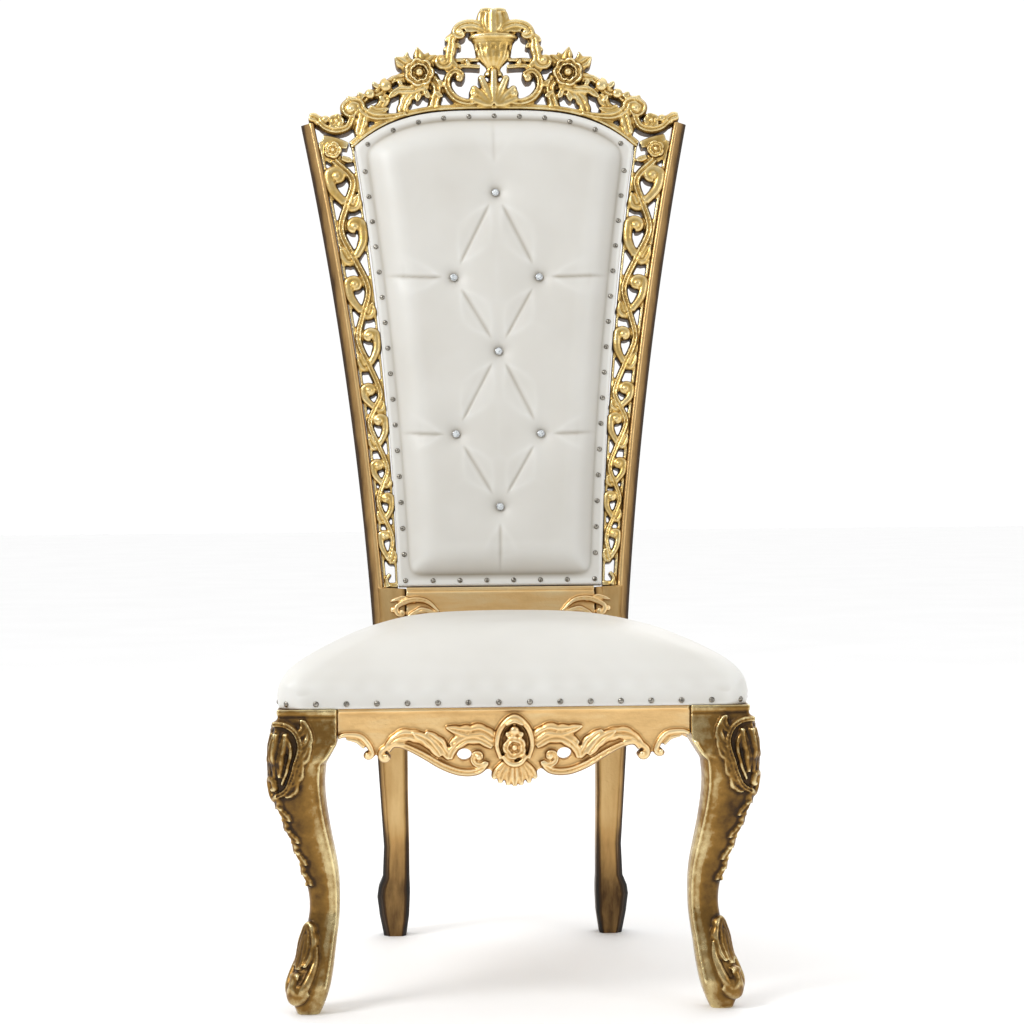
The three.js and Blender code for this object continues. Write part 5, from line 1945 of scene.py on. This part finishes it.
    def nails(self, spacing: float = 41.0) -> tuple[np.ndarray, np.ndarray]:
        """Places and outward directions of the nails along the front and the sides.

        Args:
            spacing: distance between two nails.

        Returns:
            Rows in metres, and rows of length one.
        """
        ring = self.outline(1.0, 2400)
        keep = ring[:, 1] < self.back - 14
        step = np.linalg.norm(np.diff(ring, axis=0, append=ring[:1]), axis=1)
        total = step.sum()
        along = np.concatenate([[0], np.cumsum(step)[:-1]])
        count = int(total / spacing)
        spots, outs = [], []
        for k in range(count):
            i = int(np.searchsorted(along, (k + 0.5) * total / count)) % len(ring)
            if not keep[i]:
                continue
            tangent = ring[(i + 3) % len(ring)] - ring[i - 3]
            out = np.array([tangent[1], -tangent[0], 0.0])
            spots.append((ring[i][0], ring[i][1], self.nail_height))
            outs.append(out / np.linalg.norm(out))
        return level(np.array(spots)), np.array(outs)


@dataclass
class Nails:
    """Small domed nail heads, all of a row in one piece."""

    radius: float = 4.1
    height: float = 3.0

    def build(self, name: str, spots: np.ndarray, outs: np.ndarray, metal: bpy.types.Material, slot: Slot) -> None:
        """Builds a row of nails.

        Args:
            name: the row's name.
            spots: where each stands, in metres.
            outs: which way each faces.
            metal: their finish.
            slot: the record's slot that they go with.
        """
        c = Carving()
        a = np.linspace(0, 2 * math.pi, 14, endpoint=False)
        dome = np.linspace(0, math.pi / 2, 6)
        rings = [(self.radius * max(0.06, math.cos(d)), self.height * math.sin(d)) for d in dome]
        rings.insert(0, (self.radius * 0.96, -0.8))
        for spot, out in zip(spots, outs):
            up = np.array([0.0, 0.0, 1.0])
            side = np.cross(up, out)
            side /= np.linalg.norm(side)
            up = np.cross(out, side)
            round_head = np.cos(a)[:, None] * side + np.sin(a)[:, None] * up
            c.rings(np.array([spot + MM * (r * round_head + h * out) for r, h in rings]))
        dress(c.made(name), metal, slot)


@dataclass
class CrystalButtons:
    """Faceted glass buttons in thin bright rims."""

    places: tuple[Point, ...]
    radius: float = 5.2
    rim: float = 6.0
    # Height of the buttons' underside over the back's plane
    seat: float = 16.3

    def build(self, glass: bpy.types.Material, chrome: bpy.types.Material) -> None:
        """Builds and dresses every button and rim.

        Args:
            glass: the buttons' finish.
            chrome: the rims' finish.
        """
        facets = [(self.radius * share, w) for share, w in ((1.0, 0.5), (1.0, 2.0), (0.72, 4.3), (0.42, 5.9))]
        collar = [(self.rim + wider, w) for wider, w in ((0, 0.0), (0, 1.6), (-0.5, 2.6), (-1.0, 2.2), (-1.1, 0.2))]
        for i, place in enumerate(self.places, 1):
            gem = self.turned(place, facets, 12, True).made(f"glass_button_{i}", on_back)
            gem.data.shade_flat()
            dress(gem, glass, Slot.CRYSTAL, f"crystal_button_{i}")
            dress(self.turned(place, collar, 28, False).made(f"button_rim_{i}", on_back), chrome, Slot.CRYSTAL)

    def turned(self, place: Point, cut: Sequence[Point], sides: int, staggered: bool) -> Carving:
        """A small round form.

        Args:
            place: its middle.
            cut: radius and height of each ring.
            sides: corners of each ring.
            staggered: whether every other ring is turned by half a side.

        Returns:
            The form.
        """
        a = np.linspace(0, 2 * math.pi, sides, endpoint=False)
        rings = []
        for k, (r, w) in enumerate(cut):
            turn = a + (math.pi / sides if staggered and k % 2 else 0)
            x, v = place[0] + r * np.cos(turn), place[1] + r * np.sin(turn)
            rings.append(np.column_stack([x, v, np.full(sides, self.seat + w)]))
        c = Carving()
        c.rings(np.array(rings))
        return c


@dataclass
class PlainRails:
    """Side and rear seat rails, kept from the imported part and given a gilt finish."""

    names: tuple[str, ...] = ("side_rail_left", "side_rail_right", "rear_seat_rail")

    def dress(self, frame: dict, gold: bpy.types.Material) -> None:
        """Gives the rails their finish.

        Args:
            gold: the gilt finish.
        """
        for name in self.names:
            obj = frame["nodes"][name]
            for i in range(len(obj.material_slots)):
                obj.material_slots[i].link = "OBJECT"
                obj.material_slots[i].material = gold
            LOG.info("%s: kept, %s", name, gold.name)


@dataclass
class Studio:
    """Pale floor, soft lights and the camera at the photograph's view."""

    eye: tuple[float, float, float] = (-116.2, -3316.3, 729.9)
    yaw: float = math.radians(2.019)
    pitch: float = math.radians(0.802)
    roll: float = math.radians(-0.486)
    lens: float = 85.04
    sensor: float = 36.0
    # Half the floor's side, in metres
    floor_half: float = 30.0
    # Brightness of the surroundings in front, behind and, on top of these, overhead
    front_glow: float = 0.4
    rear_glow: float = 1.04
    top_glow: float = 0.7

    def camera(self) -> None:
        """Sets the camera."""
        data = bpy.data.cameras.new("studio_camera")
        data.lens = self.lens
        data.sensor_width = self.sensor
        data.sensor_fit = "HORIZONTAL"
        obj = bpy.data.objects.new("studio_camera", data)
        bpy.context.scene.collection.objects.link(obj)
        yaw, pitch = self.yaw, self.pitch
        forward = np.array([math.sin(yaw) * math.cos(pitch), math.cos(yaw) * math.cos(pitch), -math.sin(pitch)])
        right = np.array([math.cos(yaw), -math.sin(yaw), 0.0])
        up = np.cross(right, forward)
        across_view = math.cos(self.roll) * right + math.sin(self.roll) * up
        up_view = -math.sin(self.roll) * right + math.cos(self.roll) * up
        turn = np.eye(4)
        turn[:3, 0], turn[:3, 1], turn[:3, 2] = across_view, up_view, -forward
        turn[:3, 3] = level(np.array([self.eye]))[0]
        obj.matrix_world = Matrix(turn.tolist())
        bpy.context.scene.camera = obj

    def light(
        self,
        name: str,
        place: tuple[float, float, float],
        aim: tuple[float, float, float],
        size: float,
        power: float,
    ) -> None:
        """Adds a soft square light.

        Args:
            name: its name.
            place: where it hangs, in metres.
            aim: what it points at.
            size: side length in metres.
            power: in watts.
        """
        data = bpy.data.lights.new(name, "AREA")
        data.shape = "SQUARE"
        data.size = size
        data.energy = power
        obj = bpy.data.objects.new(name, data)
        bpy.context.scene.collection.objects.link(obj)
        obj.location = place
        toward = np.array(aim) - np.array(place)
        toward /= np.linalg.norm(toward)
        side = np.cross(toward, [0, 0, 1.0])
        side /= np.linalg.norm(side)
        up = np.cross(side, toward)
        turn = np.eye(4)
        turn[:3, 0], turn[:3, 1], turn[:3, 2], turn[:3, 3] = side, up, -toward, place
        obj.matrix_world = Matrix(turn.tolist())

    def floor(self) -> None:
        """Lays the pale floor."""
        size = self.floor_half
        verts = np.array([(-size, -size, 0), (size, -size, 0), (size, size, 0), (-size, size, 0)], float)
        obj = new_object("studio_floor", verts, [(0, 1, 2, 3)])
        material, shader, place = blank("painted_floor", Roughness=0.8)
        tree = material.node_tree
        # Faint roller marks, about half a metre across
        cloud = node(tree, "ShaderNodeTexNoise", {"Vector": place, "Scale": 2.0, "Detail": 3.0}).outputs["Fac"]
        tree.links.new(ramp(tree, cloud, [(0.3, "#fafafa"), (0.7, "#fdfdfd")]), shader.inputs["Base Color"])
        obj.data.materials.append(material)

    def build(self) -> None:
        """Sets the camera, floor, lights and soft white surroundings, brighter behind the chair and overhead."""
        self.camera()
        self.floor()
        self.light("key_light", (-2.6, -2.0, 3.3), (0, 0, 0.9), 1.4, 78)
        self.light("fill_light", (3.2, -2.6, 1.9), (0, 0, 0.7), 1.8, 24)
        self.light("rear_light", (0.6, 3.6, 2.8), (0, 0, 0.9), 2.4, 25)
        scene = bpy.context.scene
        world = bpy.data.worlds.new("studio_world")
        world.use_nodes = True
        tree = world.node_tree
        direction = node(tree, "ShaderNodeTexCoord").outputs["Generated"]
        split = node(tree, "ShaderNodeSeparateXYZ", {0: direction})
        least, most = self.front_glow, self.rear_glow
        level_glow = node(
            tree,
            "ShaderNodeMapRange",
            {"Value": split.outputs["Y"], "From Min": -0.3, "From Max": 0.7, "To Min": least, "To Max": most},
        ).outputs[0]
        up = node(tree, "ShaderNodeMath", {0: split.outputs["Z"], 1: 0.0}, operation="MAXIMUM").outputs[0]
        overhead = node(tree, "ShaderNodeMath", {0: up, 1: up}, operation="MULTIPLY").outputs[0]
        glow = node(
            tree, "ShaderNodeMath", {0: overhead, 1: self.top_glow, 2: level_glow}, operation="MULTIPLY_ADD"
        ).outputs[0]
        background = tree.nodes["Background"]
        background.inputs["Color"].default_value = (1, 1, 1, 1)
        tree.links.new(glow, background.inputs["Strength"])
        scene.world = world
        scene.view_settings.view_transform = "Standard"


def main() -> None:
    """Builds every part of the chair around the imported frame."""
    logging.basicConfig(level=logging.INFO, format="%(name)s: %(message)s")
    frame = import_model()
    Studio().build()
    carved, plain, leg_gold_with_shade, tan = (f.build() for f in (CARVED_GOLD, PLAIN_GOLD, SHADED_LEG_GOLD, TAN_GOLD))
    hide, pewter, chrome, glass = (f.build() for f in (WHITE_HIDE, PEWTER, CHROME, GLASS))
    shape = BackShape()
    Crest(shape).build(carved)
    Fretwork(shape).build(carved)
    RearPost(shape).build(tan)
    FrontLeg().build(leg_gold_with_shade)
    Apron().build(plain)
    LowerRail().build(plain)
    PlainRails().dress(frame, plain)
    panel = BackPanel(shape)
    panel.build(hide)
    seat = Seat()
    seat.build(hide)
    Nails().build("back_nails", *panel.nails(), pewter, Slot.WHITE_HIDE)
    Nails().build("seat_nails", *seat.nails(), pewter, Slot.WHITE_HIDE)
    CrystalButtons(panel.buttons).build(glass, chrome)


if __name__ == "__main__":
    main()
